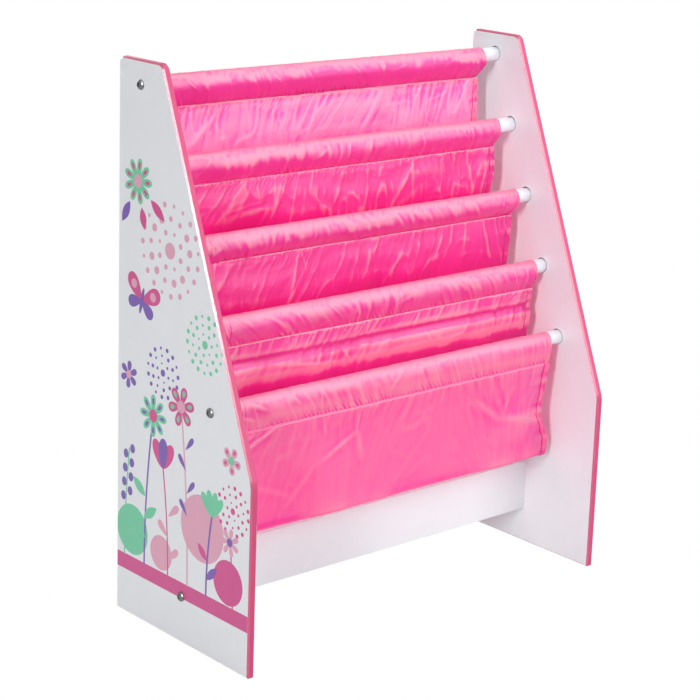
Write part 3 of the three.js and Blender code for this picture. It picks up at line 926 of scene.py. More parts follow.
class BOOKSHELF_OT_rail(bpy.types.Operator):
    """Paint the bottom rail"""

    bl_idname = "bookshelf.rail"
    bl_label = "Bottom Rail"
    bl_options = {"REGISTER", "UNDO"}

    def execute(self, context):
        low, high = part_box("bottom_rail")
        bm = bmesh.new()
        bmesh.ops.create_cube(bm, size=1.0)
        size = high - low
        grow = Matrix.Translation((high + low) / 2) @ Matrix.Diagonal((*size, 1))
        bmesh.ops.transform(bm, verts=bm.verts, matrix=grow)
        arris = [edge for edge in bm.edges if abs(edge.verts[0].co.x - edge.verts[1].co.x) > size.x / 2]
        bevel(bm, arris, RAIL_ARRIS, segments=4)
        piece = finished("rail_board", bm, [face_paint(), raw_board()])
        raw_slot = 1
        cutters = []
        for side, sign in SIDES.items():
            end = high.x if sign > 0 else low.x
            start = end + sign * OVERRUN
            bolt, nut, dowel = (
                middle_of(f"{side}_{part}") for part in ("rail_bolt", "barrel_nut", "rail_dowel")
            )
            for radius, depth, place in (
                (BOLT_BORE, RAIL_BOLT_DEPTH, bolt), (DOWEL_BORE, RAIL_DOWEL_DEPTH, dowel),
            ):
                cutters.append(bore(radius, start, end - sign * depth, level_with(place), raw_slot))
            nut_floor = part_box(f"{side}_barrel_nut")[0].y - NUT_GAP
            above_nut = Vector((nut.x, 0, nut.z))
            cutters.append(bore(NUT_BORE, nut_floor, high.y + OVERRUN, above_nut, raw_slot, 48, "Y"))
        cut_away(piece, cutters)
        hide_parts("bottom_rail")
        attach(piece, "root")
        return {"FINISHED"}


def button_bolt(name, side):
    """A button-head bolt with a domed head and a hexagonal key socket."""
    settings = bpy.context.scene.bookshelf.hardware
    sign = SIDES[side]
    low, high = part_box(name)
    place = level_with((low + high) / 2)
    base = PANEL_HIGH.x
    tip = base - (size_of(name).x - settings.head_height)
    radius, rim, rim_round = settings.head_radius, 0.8 * MM, 0.25 * MM
    shank, tip_radius, tip_chamfer = 3 * MM, 2.2 * MM, 0.8 * MM
    dome = settings.head_height - rim
    key = settings.hex_flats / 2 / math.cos(math.pi / 6)
    mouth, sunk, key_depth = key + 0.35 * MM, 0.12 * MM, 1.9 * MM
    profile = [
        (tip, 0.0), (tip, tip_radius), (tip + tip_chamfer, shank), (base, shank),
        (base, radius - rim_round), (base + rim_round, radius),
    ]
    steps = 9
    reach = math.acos(mouth / radius)
    for step in range(steps + 1):
        angle = reach * step / steps
        profile.append((base + rim + dome * math.sin(angle) / math.sin(reach), radius * math.cos(angle)))
    bm = revolved(profile, place, sign, 48)
    top = max(abs(vert.co.x) for vert in bm.verts)
    ring = [edge for edge in bm.edges if edge.is_boundary]
    hexagon = bmesh.ops.create_circle(bm, cap_ends=False, segments=6, radius=key)["verts"]
    mouth_place = place + Vector((sign * (top - sunk), 0, 0))
    turn = Matrix.Translation(mouth_place) @ Matrix.Rotation(math.pi / 2, 4, "Y")
    bmesh.ops.transform(bm, verts=hexagon, matrix=turn)
    sides = list({edge for vert in hexagon for edge in vert.link_edges})
    cut = bmesh.ops.subdivide_edges(bm, edges=sides, cuts=7)
    parts = [item for item in cut["geom"] if isinstance(item, bmesh.types.BMEdge)]
    hex_edges = list({*parts, *[edge for edge in sides if edge.is_valid]})
    hex_edges = [edge for edge in hex_edges if not edge.link_faces]
    bmesh.ops.bridge_loops(bm, edges=ring + hex_edges)
    wall = bmesh.ops.extrude_edge_only(bm, edges=hex_edges)
    deep = [item for item in wall["geom"] if isinstance(item, bmesh.types.BMVert)]
    bmesh.ops.translate(bm, verts=deep, vec=(-sign * key_depth, 0, 0))
    floor = [item for item in wall["geom"] if isinstance(item, bmesh.types.BMEdge) and item.is_boundary]
    bmesh.ops.contextual_create(bm, geom=floor)
    bmesh.ops.recalc_face_normals(bm, faces=bm.faces)
    piece = finished(f"{name}_turned", bm, [plated()], 30)
    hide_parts(name)
    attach(piece, "root")


class BOOKSHELF_OT_hardware(bpy.types.Operator):
    """Make the button-head bolts and finish the nuts, inserts and dowels"""

    bl_idname = "bookshelf.hardware"
    bl_label = "Fixings"
    bl_options = {"REGISTER", "UNDO"}

    def execute(self, context):
        beech = wood("Beech", context.scene.bookshelf.hardware.beech, contrast=0.3)
        for side in SIDES:
            for name in (f"{side}_rod_bolt_1", f"{side}_rod_bolt_5", f"{side}_rail_bolt"):
                button_bolt(name, side)
            for name in (f"{side}_rod_insert_1", f"{side}_rod_insert_5", f"{side}_barrel_nut"):
                dress(name, plated())
            dress(f"{side}_rail_dowel", beech)
        return {"FINISHED"}


# Cloth: a flat grid that is laid along a section, with relief that stands for gathers, creases and waves


def lattice_noise(x, y, seed):
    """Smooth noise from -1 to 1 on points one unit apart."""
    table = np.random.default_rng(seed).uniform(-1, 1, (128, 128))
    column, row = np.floor(x).astype(int), np.floor(y).astype(int)
    across, up = x - column, y - row
    across = across * across * across * (across * (across * 6 - 15) + 10)
    up = up * up * up * (up * (up * 6 - 15) + 10)

    def corner(i, j):
        return table[(column + i) % 128, (row + j) % 128]

    low = corner(0, 0) * (1 - across) + corner(1, 0) * across
    high = corner(0, 1) * (1 - across) + corner(1, 1) * across
    return (low * (1 - up) + high * up) * 1.3


def line_noise(along, line, seed):
    """The same noise along one line of its table."""
    return lattice_noise(along, along * 0 + line, seed)


def bell(value, middle, width, power=2):
    """1 at the middle, fading over the width; a higher power gives a flatter top."""
    return np.exp(-(((value - middle) / width) ** power))


def ridged(noise, sharpness):
    """Turns noise into narrow ridges on a calm ground."""
    return np.clip(1 - np.abs(noise) * sharpness, 0, 1) ** 2


def crease(x, y, start, end, height, width):
    """A narrow fold between two points that fades at its ends."""
    (x0, y0), (x1, y1) = start, end
    run = math.hypot(x1 - x0, y1 - y0)
    along = ((x - x0) * (x1 - x0) + (y - y0) * (y1 - y0)) / run
    aside = (-(x - x0) * (y1 - y0) + (y - y0) * (x1 - x0)) / run
    share = np.clip(along / run, 0, 1)
    beyond = along - share * run
    fade = np.sin(np.pi * np.clip(share * 0.86 + 0.07, 0, 1)) ** 0.8
    distance = np.abs(aside) / width + np.abs(beyond) / width
    return height * fade * np.exp(-distance ** 1.5)


# How far from a hem's inner edge its stitches run, in millimetres
HEM_LINE = 0.8
# Folds of the cloth, in millimetres: x runs across the shelf and drop down from a seam
PUCKER_SPACING = 5.4


def puckers(x, drop, seed, reach, busy):
    """The short slanted folds that a seam draws up: their height, from 0 to 1, and their strength."""
    turn = 2 * math.pi * (x + 0.8 * drop) / PUCKER_SPACING + 3 * line_noise(x / 19, 0.7, seed + 11)
    return 0.5 + 0.5 * np.sin(turn), np.exp(-((drop / 6 / reach) ** 2)) * (0.4 + busy)


def seam_measures(x, drop, seed):
    """How far down a seam's gathers reach and how busy they are, along the seam."""
    reach = np.clip(1 + 0.8 * line_noise(x / 30, 1.7, seed + 8), 0.3, 2)
    return reach, np.clip(0.55 + 0.9 * lattice_noise(x / 42, drop / 60, seed + 7), 0.1, 1.5)


def fold_painted_shade(x, drop, seed):
    """0 to -1: the painted shade that lies in the short folds beside a seam."""
    folds, strength = puckers(x, drop, seed, *seam_measures(x, drop, seed))
    near = bell(drop, 1.2, 2.6, 4) * (drop > 0)
    return -np.clip(1.5 - 3.2 * folds, 0, 1) * near * np.clip(strength, 0, 1)


def gathers(x, drop, seed, strength=1.0, pucker=1.0):
    """Puckers that start at a seam and run out into slanted streaks."""
    reach, busy = seam_measures(x, drop, seed)
    slant = -0.42 + 0.5 * line_noise(x / 120, 3.3, seed + 9) + 0.0012 * x
    bend = 2.6 * lattice_noise(x / 40, drop / 26, seed + 6) * (1 - np.exp(-drop / 12))
    run = x - slant * drop
    bent = run + bend

    def streak(spacing, stretch, number, sharpness, fade):
        ridges = ridged(lattice_noise(bent / spacing, drop / stretch, seed + number), sharpness)
        return ridges * np.exp(-drop / fade / reach)

    folds, drawn = puckers(x, drop, seed, reach, busy)
    stitch_tucks = ridged(lattice_noise((x + 0.6 * drop) / 3.8, drop / 18, seed), 1.8)
    fine = stitch_tucks * np.exp(-drop / 5.5) * 0.7 * busy + 0.68 * folds * drawn
    middle = lattice_noise(bent / 6, drop / 40, seed + 1) * np.exp(-drop / 11 / reach) * 0.9 * busy
    streaks = 1.3 * streak(16, 80, 2, 2.2, 85) + 0.7 * busy * streak(10, 60, 4, 4.2, 70)
    broad = 1.4 * lattice_noise(bent / 40, drop / 60, seed + 3) * (1 - np.exp(-drop / 16))
    hair = 0.26 * lattice_noise((run + 0.5 * bend) / 3.7, drop / 34, seed + 5) * np.exp(-drop / 60)
    hold = 1 - np.exp(-drop / 1.2)
    return strength * hold * (pucker * fine + middle + streaks + broad + hair)


def crumple(x, down, seed):
    """Crisp shallow creases in all directions, as in nylon that has lain folded."""
    warp_x = x + 6 * lattice_noise(x / 25, down / 25, seed)
    warp_down = down + 6 * lattice_noise(x / 25 + 9, down / 25, seed + 1)
    large = ridged(lattice_noise(warp_x / 26, warp_down / 40, seed + 2), 3.6) * 0.36
    small = ridged(lattice_noise((warp_x + 0.4 * warp_down) / 8, warp_down / 24, seed + 3), 3.0) * 0.18
    return large + small


def along_points(points, values):
    """Smooth curve through (drop, out) pairs."""
    knots = np.array(points)
    index = np.clip(np.searchsorted(knots[:, 0], values) - 1, 0, len(knots) - 2)
    span = knots[index + 1, 0] - knots[index, 0]
    share = np.clip((values - knots[index, 0]) / span, 0, 1)
    share = share * share * (3 - 2 * share)
    return knots[index, 1] * (1 - share) + knots[index + 1, 1] * share


class Section:
    """A curve in the (y, z) plane that cloth follows, measured by its length in metres."""

    def __init__(self, points):
        points = np.array(points)
        keep = np.r_[True, np.hypot(*np.diff(points, axis=0).T) > 1e-7]
        self.points = points[keep]
        steps = np.hypot(*np.diff(self.points, axis=0).T)
        self.marks = np.r_[0, np.cumsum(steps)]
        self.length = self.marks[-1]

    def at(self, run):
        """The places at these lengths along the curve, as (y, z)."""
        return np.stack([np.interp(run, self.marks, self.points[:, k]) for k in (0, 1)], axis=-1)

    def normal(self, run, reach=0.8 * MM):
        """The way out of the cloth there, from the curve's direction over a short reach."""
        ahead = self.at(np.clip(run + reach, 0, self.length))
        behind = self.at(np.clip(run - reach, 0, self.length))
        tangent = ahead - behind
        tangent /= np.linalg.norm(tangent, axis=-1, keepdims=True)
        return np.stack([tangent[..., 1], -tangent[..., 0]], axis=-1)


def arc(centre, radius, start, end, steps):
    """Points of a circle from one angle to another."""
    angles = np.linspace(start, end, steps)
    return [(centre[0] + radius * math.cos(a), centre[1] + radius * math.sin(a)) for a in angles]


def seam_place(number):
    """Where the seam below a rod lies, as (y, z)."""
    place = ROD_PLACES[number]
    drop = bpy.context.scene.bookshelf.cloth.seam_drop - SEAM_RISE[number]
    return place.y + SEAM_LEAN[number], place.z - drop


def marks(stretches):
    """Places along the cloth, from (length, spacing) stretches."""
    places = [0.0]
    for reach, spacing in stretches:
        count = max(1, round(reach / spacing))
        start = places[-1]
        places += [start + reach * (i + 1) / count for i in range(count)]
    return np.array(places)


def hem_columns(width, hem, spacing):
    """Columns across a sheet with turned hems: flat place, place across and depth under the sheet."""
    dense = 10 * MM
    flat = list(marks(((dense, spacing / 2), (width - 2 * dense, spacing), (dense, spacing / 2))))
    across, under = flat[:], [0.0] * len(flat)
    fold = 0.5 * MM
    turn, turn_steps, hem_steps = math.pi * fold, 5, 4
    right = []
    for step in range(1, turn_steps + 1):
        angle = math.pi * step / turn_steps
        right.append((turn * step / turn_steps, fold * math.sin(angle), fold * (1 - math.cos(angle))))
    for step in range(1, hem_steps + 1):
        run = (hem - turn / 2) * step / hem_steps
        right.append((turn + run, -run, 2 * fold))
    flat = [-a for a, _, _ in reversed(right)] + flat + [width + a for a, _, _ in right]
    across = [-b for _, b, _ in reversed(right)] + across + [width + b for _, b, _ in right]
    under = [c for _, _, c in reversed(right)] + under + [c for _, _, c in right]
    return np.array(flat), np.array(across), np.array(under)


def smoothed(grid, reach):
    """Mean of each value and its neighbours within reach."""
    window = np.ones(2 * reach + 1) / (2 * reach + 1)
    for axis in (0, 1):
        rim = [(reach, reach) if k == axis else (0, 0) for k in (0, 1)]
        padded = np.pad(grid, rim, mode="edge")
        grid = np.apply_along_axis(np.convolve, axis, padded, window, "valid")
    return grid


# The way that light comes to the cloth, as (y, z), for the painted light and shade of its relief
LIT_FROM = (-0.8, 0.6)
# How far round a place the relief's mean is taken, in rows and columns, and the height over that mean,
# in millimetres, that gives the full painted light and shade: for details and for wide folds
DETAIL_REACH, DETAIL_HEIGHT = 4, 0.36
WIDE_REACH, WIDE_HEIGHT = 11, 0.6


def lay_cloth(name, section, edges, relief, run, painted_light, calm=np.ones_like):
    """A sheet with turned hems, laid along the section; returns it and a function for places on it.

    run holds the places of its rows along the section, and edges gives its two sides there, in metres.
    The other functions work in millimetres: relief is the height over the section, the next the painted
    light and shade that the cloth has by its place, below 0 for painted shade and up to 1 for painted
    highlights and light through it, and calm how much the painted light and shade of the relief add to
    that.
    """
    settings = bpy.context.scene.bookshelf.cloth
    flat, across, under = hem_columns(settings.width, settings.hem, settings.spacing)
    rows = len(run)
    bm = bmesh.new()
    bmesh.ops.create_grid(bm, x_segments=len(flat) - 1, y_segments=rows - 1, size=1.0)
    bm.loops.layers.uv.new("UVMap")
    mesh = bpy.data.meshes.new(name)
    bm.to_mesh(mesh)
    bm.free()
    co = np.empty(len(mesh.vertices) * 3)
    mesh.vertices.foreach_get("co", co)
    co = co.reshape(-1, 3)
    column = np.rint((co[:, 0] + 1) / 2 * (len(flat) - 1)).astype(int)
    row = np.rint((co[:, 1] + 1) / 2 * (rows - 1)).astype(int)

    def surface(share_across, down, depth):
        """Points of the sheet; all arguments are arrays, in metres."""
        left, right = edges(down)
        x = left + (right - left) * share_across / settings.width
        out = relief(x / MM, down / MM, share_across / MM) * MM
        normal = section.normal(down)
        away = (out - depth)[..., None] * normal
        yz = section.at(down) + away
        return np.concatenate([x[..., None], yz], axis=-1)

    places = surface(across[column], run[row], under[column])
    mesh.vertices.foreach_set("co", places.ravel())
    corner = np.empty(len(mesh.loops), dtype=int)
    mesh.loops.foreach_get("vertex_index", corner)
    uv = np.stack([flat[column], run[row]], axis=-1)[corner]
    mesh.uv_layers["UVMap"].data.foreach_set("uv", uv.ravel())
    # Painted light and shade: crests that stand out towards the light, from the front and top, are
    # painted paler, and the valleys between them deeper
    x, down = places[:, 0] / MM, run[row] / MM
    crests = np.empty((rows, len(flat)))
    crests[row, column] = relief(x, down, across[column] / MM) * (section.normal(run[row]) @ LIT_FROM)
    detail = np.clip((crests - smoothed(crests, DETAIL_REACH))[row, column] / DETAIL_HEIGHT, -1, 1)
    wide = (smoothed(crests, 2) - smoothed(crests, WIDE_REACH))[row, column]
    wide = np.clip(wide / WIDE_HEIGHT, -1, 1)
    relief_painted_light = np.where(detail > 0, 0.7 * np.abs(detail) ** 1.3, detail)
    relief_painted_light += np.where(wide > 0, 0.42, 0.3) * wide
    mask = mesh.attributes.new("Paleness", "FLOAT", "POINT")
    mask.data.foreach_set("value", painted_light(x, down) + calm(down) * relief_painted_light)
    mesh.materials.append(nylon())
    mesh.shade_smooth()
    mesh.update()
    return placed(name, mesh), surface


def sew(name, surface, rows, sides=(1, -1)):
    """Stitches along rows of (across, down) places on the cloth, on one or both of its sides.

    Rows that run down the cloth are hems, in the dark thread whose colour also holds the painted shade of
    the needle dents.
    """
    settings = bpy.context.scene.bookshelf.cloth
    half_size = (settings.stitch * 0.42, 0.5 * MM, 0.34 * MM, 1)
    proud = settings.thickness / 2 + 0.05 * MM
    reach = 0.3 * MM
    bm = bmesh.new()
    for start, end in rows:
        start, end = np.array(start), np.array(end)
        run = float(np.linalg.norm(end - start))
        count = max(2, int(run / settings.stitch))
        direction = (end - start) / run
        middles = start + direction * (np.arange(count)[:, None] + 0.5) * run / count
        flat = np.zeros(count)
        here = surface(middles[:, 0], middles[:, 1], flat)
        ahead = surface(middles[:, 0] + direction[0] * reach, middles[:, 1] + direction[1] * reach, flat)
        side = np.array([-direction[1], direction[0]])
        beside = surface(middles[:, 0] + side[0] * reach, middles[:, 1] + side[1] * reach, flat)
        for point, on, off in zip(here, ahead, beside):
            point = Vector(point)
            along = (Vector(on) - point).normalized()
            up = along.cross(Vector(off) - point).normalized()
            across = up.cross(along)
            for way in sides:
                turn = Matrix((along, across, up)).transposed().to_4x4() @ Matrix.Diagonal(half_size)
                place = Matrix.Translation(point + up * way * proud) @ turn
                made = bmesh.ops.create_icosphere(bm, subdivisions=1, radius=1.0, matrix=place)
                for face in {face for vert in made["verts"] for face in vert.link_faces}:
                    face.material_index = int(abs(direction[1]) > abs(direction[0]))
    threads = [
        coated(label, shade, roughness=0.5, grain=3000.0, mottle=0.2, bump=0.8)
        for label, shade in (("Seam thread", settings.thread), ("Hem thread", settings.hem_thread_painted_shade))
    ]
    piece = finished(name, bm, threads, 80)
    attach(piece, "root")
    return piece


def bezier(start, first, second, end, steps=16):
    """Points of a curve that leaves start towards first and reaches end from second."""
    share = np.linspace(0, 1, steps)[:, None]
    rest = 1 - share
    start, first, second, end = (np.array(point) for point in (start, first, second, end))
    curve = rest ** 3 * start + 3 * rest ** 2 * share * first
    curve += 3 * rest * share ** 2 * second + share ** 3 * end
    return [tuple(point) for point in curve]


def sleeve_section(number):
    """From the rear seam up over the rod and down to the front seam.

    Returns the section, the length of its seam tab and where its crest lies along it.
    """
    settings = bpy.context.scene.bookshelf.cloth
    place = ROD_PLACES[number]
    seam_y, seam_z = seam_place(number)
    ease, gap, tab = 0.35 * MM, 0.45 * MM, 3.5 * MM
    radius = size_of(f"rod_{number}").z / 2 + ease + settings.thickness / 2
    down = Vector((seam_y - place.y, seam_z - place.z))
    lean = math.atan2(down.y, down.x)
    spread = math.acos(radius / down.length)
    # The front leaves the rod early, swells forward and falls back to the seam
    leave = math.radians(145)
    points = [(seam_y + gap, seam_z - tab), (seam_y + gap, seam_z)]
    points += arc((place.y, place.z), radius, lean + spread, math.pi / 2, 40)
    crest = Section(points).length
    points += arc((place.y, place.z), radius, math.pi / 2, leave, 24)
    start, end = np.array(points[-1]), np.array((seam_y - gap, seam_z))
    swell = np.array((place.y - radius - SLEEVE_SWELL[number], place.z - 6 * MM))
    onward = start + 4 * MM * np.array((-math.sin(leave), math.cos(leave)))
    points += bezier(start, onward, swell + (0, 4 * MM), swell)
    fall = (end - swell) / np.linalg.norm(end - swell)
    points += bezier(swell, swell - (0, 6 * MM), end - 5 * MM * fall, end)
    points += [(seam_y - gap, seam_z - tab)]
    return Section(points), tab, crest


# Folds in the front of each sleeve: (x, way down from the rod's top) to the same, height and half width
SLEEVE_CREASES = {
    1: [((-205, 12), (-188, 27), 0.9, 1.3), ((-228, 20), (-214, 28), 0.7, 1.0),
        ((-90, 14), (-78, 27), 0.8, 1.2), ((-20, 22), (8, 12), 0.6, 1.1),
        ((62, 26), (96, 16), 0.7, 1.1), ((150, 27), (172, 14), 0.6, 1.2)],
    2: [((-214, 30), (-196, 12), 0.9, 1.2), ((-150, 28), (-141, 20), 0.5, 1.0),
        ((-60, 26), (-40, 14), 0.6, 1.2), ((120, 27), (150, 17), 0.6, 1.2),
        ((205, 27), (216, 15), 0.6, 1.0)],
    3: [((-222, 28), (-205, 18), 0.8, 1.2), ((-120, 14), (-112, 27), 0.7, 1.0),
        ((-40, 26), (-22, 15), 0.5, 1.2), ((190, 14), (214, 26), 0.8, 1.1)],
    4: [((-224, 12), (-216, 29), 0.9, 1.2), ((-170, 26), (-158, 18), 0.5, 1.0),
        ((10, 26), (34, 16), 0.5, 1.3)],
    5: [((-214, 10), (-190, 20), 0.9, 1.4), ((-226, 22), (-206, 29), 0.8, 1.1),
        ((-156, 12), (-146, 22), 0.7, 1.2), ((-118, 14), (-117, 30), 0.7, 1.1),
        ((-22, 28), (-4, 10), 0.7, 1.2)],
}


def rod_sleeve(number):
    """A sleeve round one rod, with its stitches."""
    settings = bpy.context.scene.bookshelf.cloth
    section, tab, crest = sleeve_section(number)
    tab_mm, whole, top, hem = tab / MM, section.length / MM, crest / MM, settings.hem / MM
    front_seed, rear_seed = 100 + 10 * number, 200 + 10 * number
    drift = SLEEVE_DRIFT[number]
    half = settings.width / 2
    # In millimetres: how far the rod holds the cloth taut in front of its crest and behind it, where the
    # slack is above the seams and how wide, and how far from the crest the painted light over the rod
    # ends and fades
    held_front, held_rear = 12.0, 17.0
    slack_place, slack_width = 11, 7.5
    pale_reach, pale_fade = 17, 2.2

    def edges(down):
        # The ends slope in towards the seam
        slope = SLEEVE_SLOPE[number] * np.abs(2 * down / section.length - 1) ** 2
        lumps = line_noise(down / MM / 5, 0.5, 40 + number) * 0.35 * MM
        return drift - half + slope + lumps, drift + half - slope - lumps

    def relief(x, down, across):
        from_front = whole - down - tab_mm
        from_rear = down - tab_mm
        over_rod = bell(down, top, np.where(down > top, held_front, held_rear), 4)
        loose = 1 - over_rod
        slack = 0.4 * bell(from_front, slack_place, slack_width)
        slack += 1.5 * bell(from_rear, slack_place, slack_width)
        out = slack * (0.9 + 0.5 * line_noise(x / 60, 1, 50 + number)) * loose
        pull, pucker = {1: (1.1, 2.2 - x / 130), 5: (0.35, 1.2)}.get(number, (0.85, 1.8))
        walls = ((from_front, front_seed, down > top), (from_rear, rear_seed, down < top))
        for drop, seed, here in walls:
            out += loose * gathers(x, np.clip(drop, 0, None), seed, pull, pucker) * (drop > 0) * here
        for start, end, height, width in SLEEVE_CREASES[number]:
            out += crease(x, down - top, start, end, height, width) * (from_front > 1)
        soft = lattice_noise(x / 22, down / 14, 300 + number) * 0.22
        end_turn = np.clip(np.minimum(across, settings.width / MM - across), 0, None)
        hem_line = -0.35 * bell(end_turn, hem - HEM_LINE, 0.9) * loose
        hold = np.clip(np.minimum(from_front, from_rear) / 2.5, 0, 1)
        ruffle = lattice_noise((x + 0.5 * down) / 6, down / 15, 320 + number)
        return np.clip((out + soft * loose + hem_line) * hold, -0.3, 4) + 0.3 * over_rod * np.abs(ruffle)

    def painted_light(x, down):
        """Painted light: 1 where the cloth lies over the rod, for the white rod and the highlight seen
        through it, with an uneven end where it leaves it.
        """
        uneven = 1.5 * lattice_noise((x - down * 0.4) / 12, down / 30, 340 + number)
        uneven += 0.35 * lattice_noise(x / 3.5, down / 12, 350 + number)
        over = 1 / (1 + np.exp((np.abs(down - top) - pale_reach + uneven) / pale_fade))
        front = whole - tab_mm - down
        # Below the rod: painted light on some sleeves and painted shade on others, the shade deeper
        # towards the seam, and painted shade in the folds by the seam
        deeper = 1 - 0.5 * np.clip(front / 16, 0, 1) if SLEEVE_PAINTED_LIGHT[number] < 0 else 1.0
        dark = SEAM_SHADE[number] * fold_painted_shade(x, front, front_seed)
        return over + (1 - over) * (SLEEVE_PAINTED_LIGHT[number] * deeper + dark * (down > top))

    by_seam = (10 * MM, 0.9 * MM)
    run = marks((by_seam, (section.length - 20 * MM, 1.35 * MM), by_seam))
    piece, surface = lay_cloth(f"nylon_sleeve_{number}", section, edges, relief, run, painted_light)
    inset, from_tab = settings.hem - HEM_LINE * MM, 1.5 * MM
    low, high = tab + from_tab, section.length - tab - from_tab
    stitched = [((across, low), (across, high)) for across in (inset, settings.width - inset)]
    threads = sew(f"sleeve_stitching_{number}", surface, stitched, (1,))
    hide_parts(f"rod_sleeve_{number}")
    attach(piece, "root")


class BOOKSHELF_OT_sleeves(bpy.types.Operator):
    """Sew the sleeves round the rods"""

    bl_idname = "bookshelf.sleeves"
    bl_label = "Rod Sleeves"
    bl_options = {"REGISTER", "UNDO"}

    def execute(self, context):
        for number in ROD_PLACES:
            rod_sleeve(number)
        return {"FINISHED"}


# Out-of-plane shape of each back wall as (drop below its seam, forward), in millimetres
BACK_SHAPES = {
    1: [(0, 0), (5, 0.8), (26, 1.8), (44, 1.2), (66, -1.0), (120, 0), (400, 0)],
    2: [(0, 0), (5, 0.9), (24, 2.2), (40, 1.6), (66, -1.6), (120, 0), (400, 0)],
    3: [(0, 0), (5, 0.9), (24, 2.2), (40, 1.4), (64, -1.6), (120, 0), (400, 0)],
    4: [(0, 0), (5, 0.5), (15, 0.8), (20.5, -1.8), (22, -1.5), (30, 1.6), (38, 1.8), (58, -1.8), (120, 0),
        (400, 0)],
}
# Folds in the back walls: (x, drop) to (x, drop), height and half width
BACK_CREASES = {
    1: [((-150, 4), (-210, 60), 1.3, 4), ((-60, 2), (-74, 44), 1.0, 3), ((-20, 6), (-36, 50), 1.0, 2.6),
        ((70, 2), (40, 60), 1.2, 3.4), ((130, 4), (120, 30), 1.0, 2.4), ((196, 3), (206, 40), 1.1, 3),
        ((-228, 8), (-180, 2), 0.9, 1.6)],
    2: [((-190, 3), (-222, 44), 1.2, 3), ((-95, 2), (-110, 50), 1.4, 4), ((-8, 4), (-26, 46), 1.1, 2.6),
        ((48, 3), (38, 26), 0.9, 2.2), ((96, 4), (60, 56), 1.3, 3), ((176, 3), (190, 52), 1.2, 3),
        ((-170, 34), (-110, 26), 0.6, 1.4)],
    3: [((-180, 4), (-216, 48), 1.2, 3.4), ((-92, 2), (-104, 56), 1.5, 4),
        ((-88, 4), (-80, 26), 0.9, 1.6), ((6, 3), (4, 38), 1.0, 2), ((22, 3), (12, 18), 0.9, 1.6),
        ((58, 20), (30, 56), 1.0, 2.2), ((120, 3), (104, 40), 1.1, 2.6), ((180, 3), (196, 50), 1.3, 3)],
    4: [((-200, 3), (-212, 18), 0.9, 2), ((-20, 3), (-26, 18), 0.9, 1.5), ((52, 3), (44, 20), 0.9, 1.5),
        ((-60, 24), (-44, 46), 1.0, 1.6), ((60, 24), (72, 44), 0.9, 1.5),
        ((-150, 30), (-60, 42), 0.7, 1.8)],
}
# Folds in the front wall of the lowest pocket, measured down from its seam
FRONT_CREASES = [
    ((-228, 26), (-176, 2), 1.5, 1.7), ((-226, 16), (-204, 4), 0.8, 1.2),
    ((-112, 3), (-108, 24), 0.8, 1.5), ((-62, 4), (-66, 30), 0.8, 2.2),
    ((-64, 28), (-112, 52), 1.0, 1.8), ((-64, 26), (-56, 60), 1.0, 5),
    ((-118, 50), (-160, 96), 0.5, 3), ((112, 26), (150, 54), 0.9, 4),
    ((150, 54), (234, 70), 1.1, 5), ((60, 4), (58, 18), 0.6, 2),
    ((-206, 60), (-150, 84), 0.4, 3), ((168, 20), (158, 52), 0.6, 2.4),
]
# Right edge of the front wall as (way down from its seam, outwards), in millimetres
FRONT_EDGE = [(0, 0), (26, -3.5), (58, -9), (82, 1), (95, 5.6), (120, 4.6), (160, 1), (220, -2), (400, 0)]


def sling_section(number):
    """From the rear seam down round the fold and up to the front seam, as (y, z) points."""
    settings = bpy.context.scene.bookshelf.cloth
    top_y, top_z = seam_place(number)
    front_y, front_z = seam_place(number + 1)
    beside = 0.8 * MM
    top_y -= beside
    front_y += beside if number + 1 < ROD_COUNT else -beside
    spread = 3 * MM
    rear_side, front_side = top_y - spread + 0.5 * MM, front_y + spread
    # The front wall hangs straight down to a tight fold, and the back wall curves forward into it
    tight = 3.5 * MM
    lowest = ROD_PLACES[number + 1].z - settings.sling_drop
    fold = lowest + tight
    depth = rear_side - front_side
    roll, steps = 0.9 * MM, 10
    points = [(top_y + roll, top_z - roll)]
    points += arc((top_y - 0.2 * MM, top_z - 0.4 * MM), roll, 0.2, math.pi * 0.95, 12)
    start_y, start_z = top_y - 1.1 * MM, top_z - 1.2 * MM
    bend_top = lowest + depth
    for i in range(1, steps + 1):
        share = i / steps
        points.append((rear_side + (start_y - rear_side) * (1 - share) ** 1.5,
                       start_z + (bend_top - start_z) * share))
    points += [(front_side + tight + (depth - tight) * math.cos(a), bend_top - depth * math.sin(a))
               for a in np.linspace(0.05, math.pi / 2, 40)]
    points += arc((front_side + tight, fold), tight, -math.pi / 2, -math.pi, 16)
    for i in range(1, steps + 1):
        share = i / steps
        points.append((front_side + (front_y - front_side) * share ** 2.5,
                       fold + (front_z - fold) * share))
    if number + 1 == ROD_COUNT:
        # The front wall of the lowest pocket rolls back at its seam
        curl = 0.7 * MM
        points += arc((front_y + curl, front_z + 0.1 * MM), curl, math.pi, 0.3, 10)
    return Section(points)


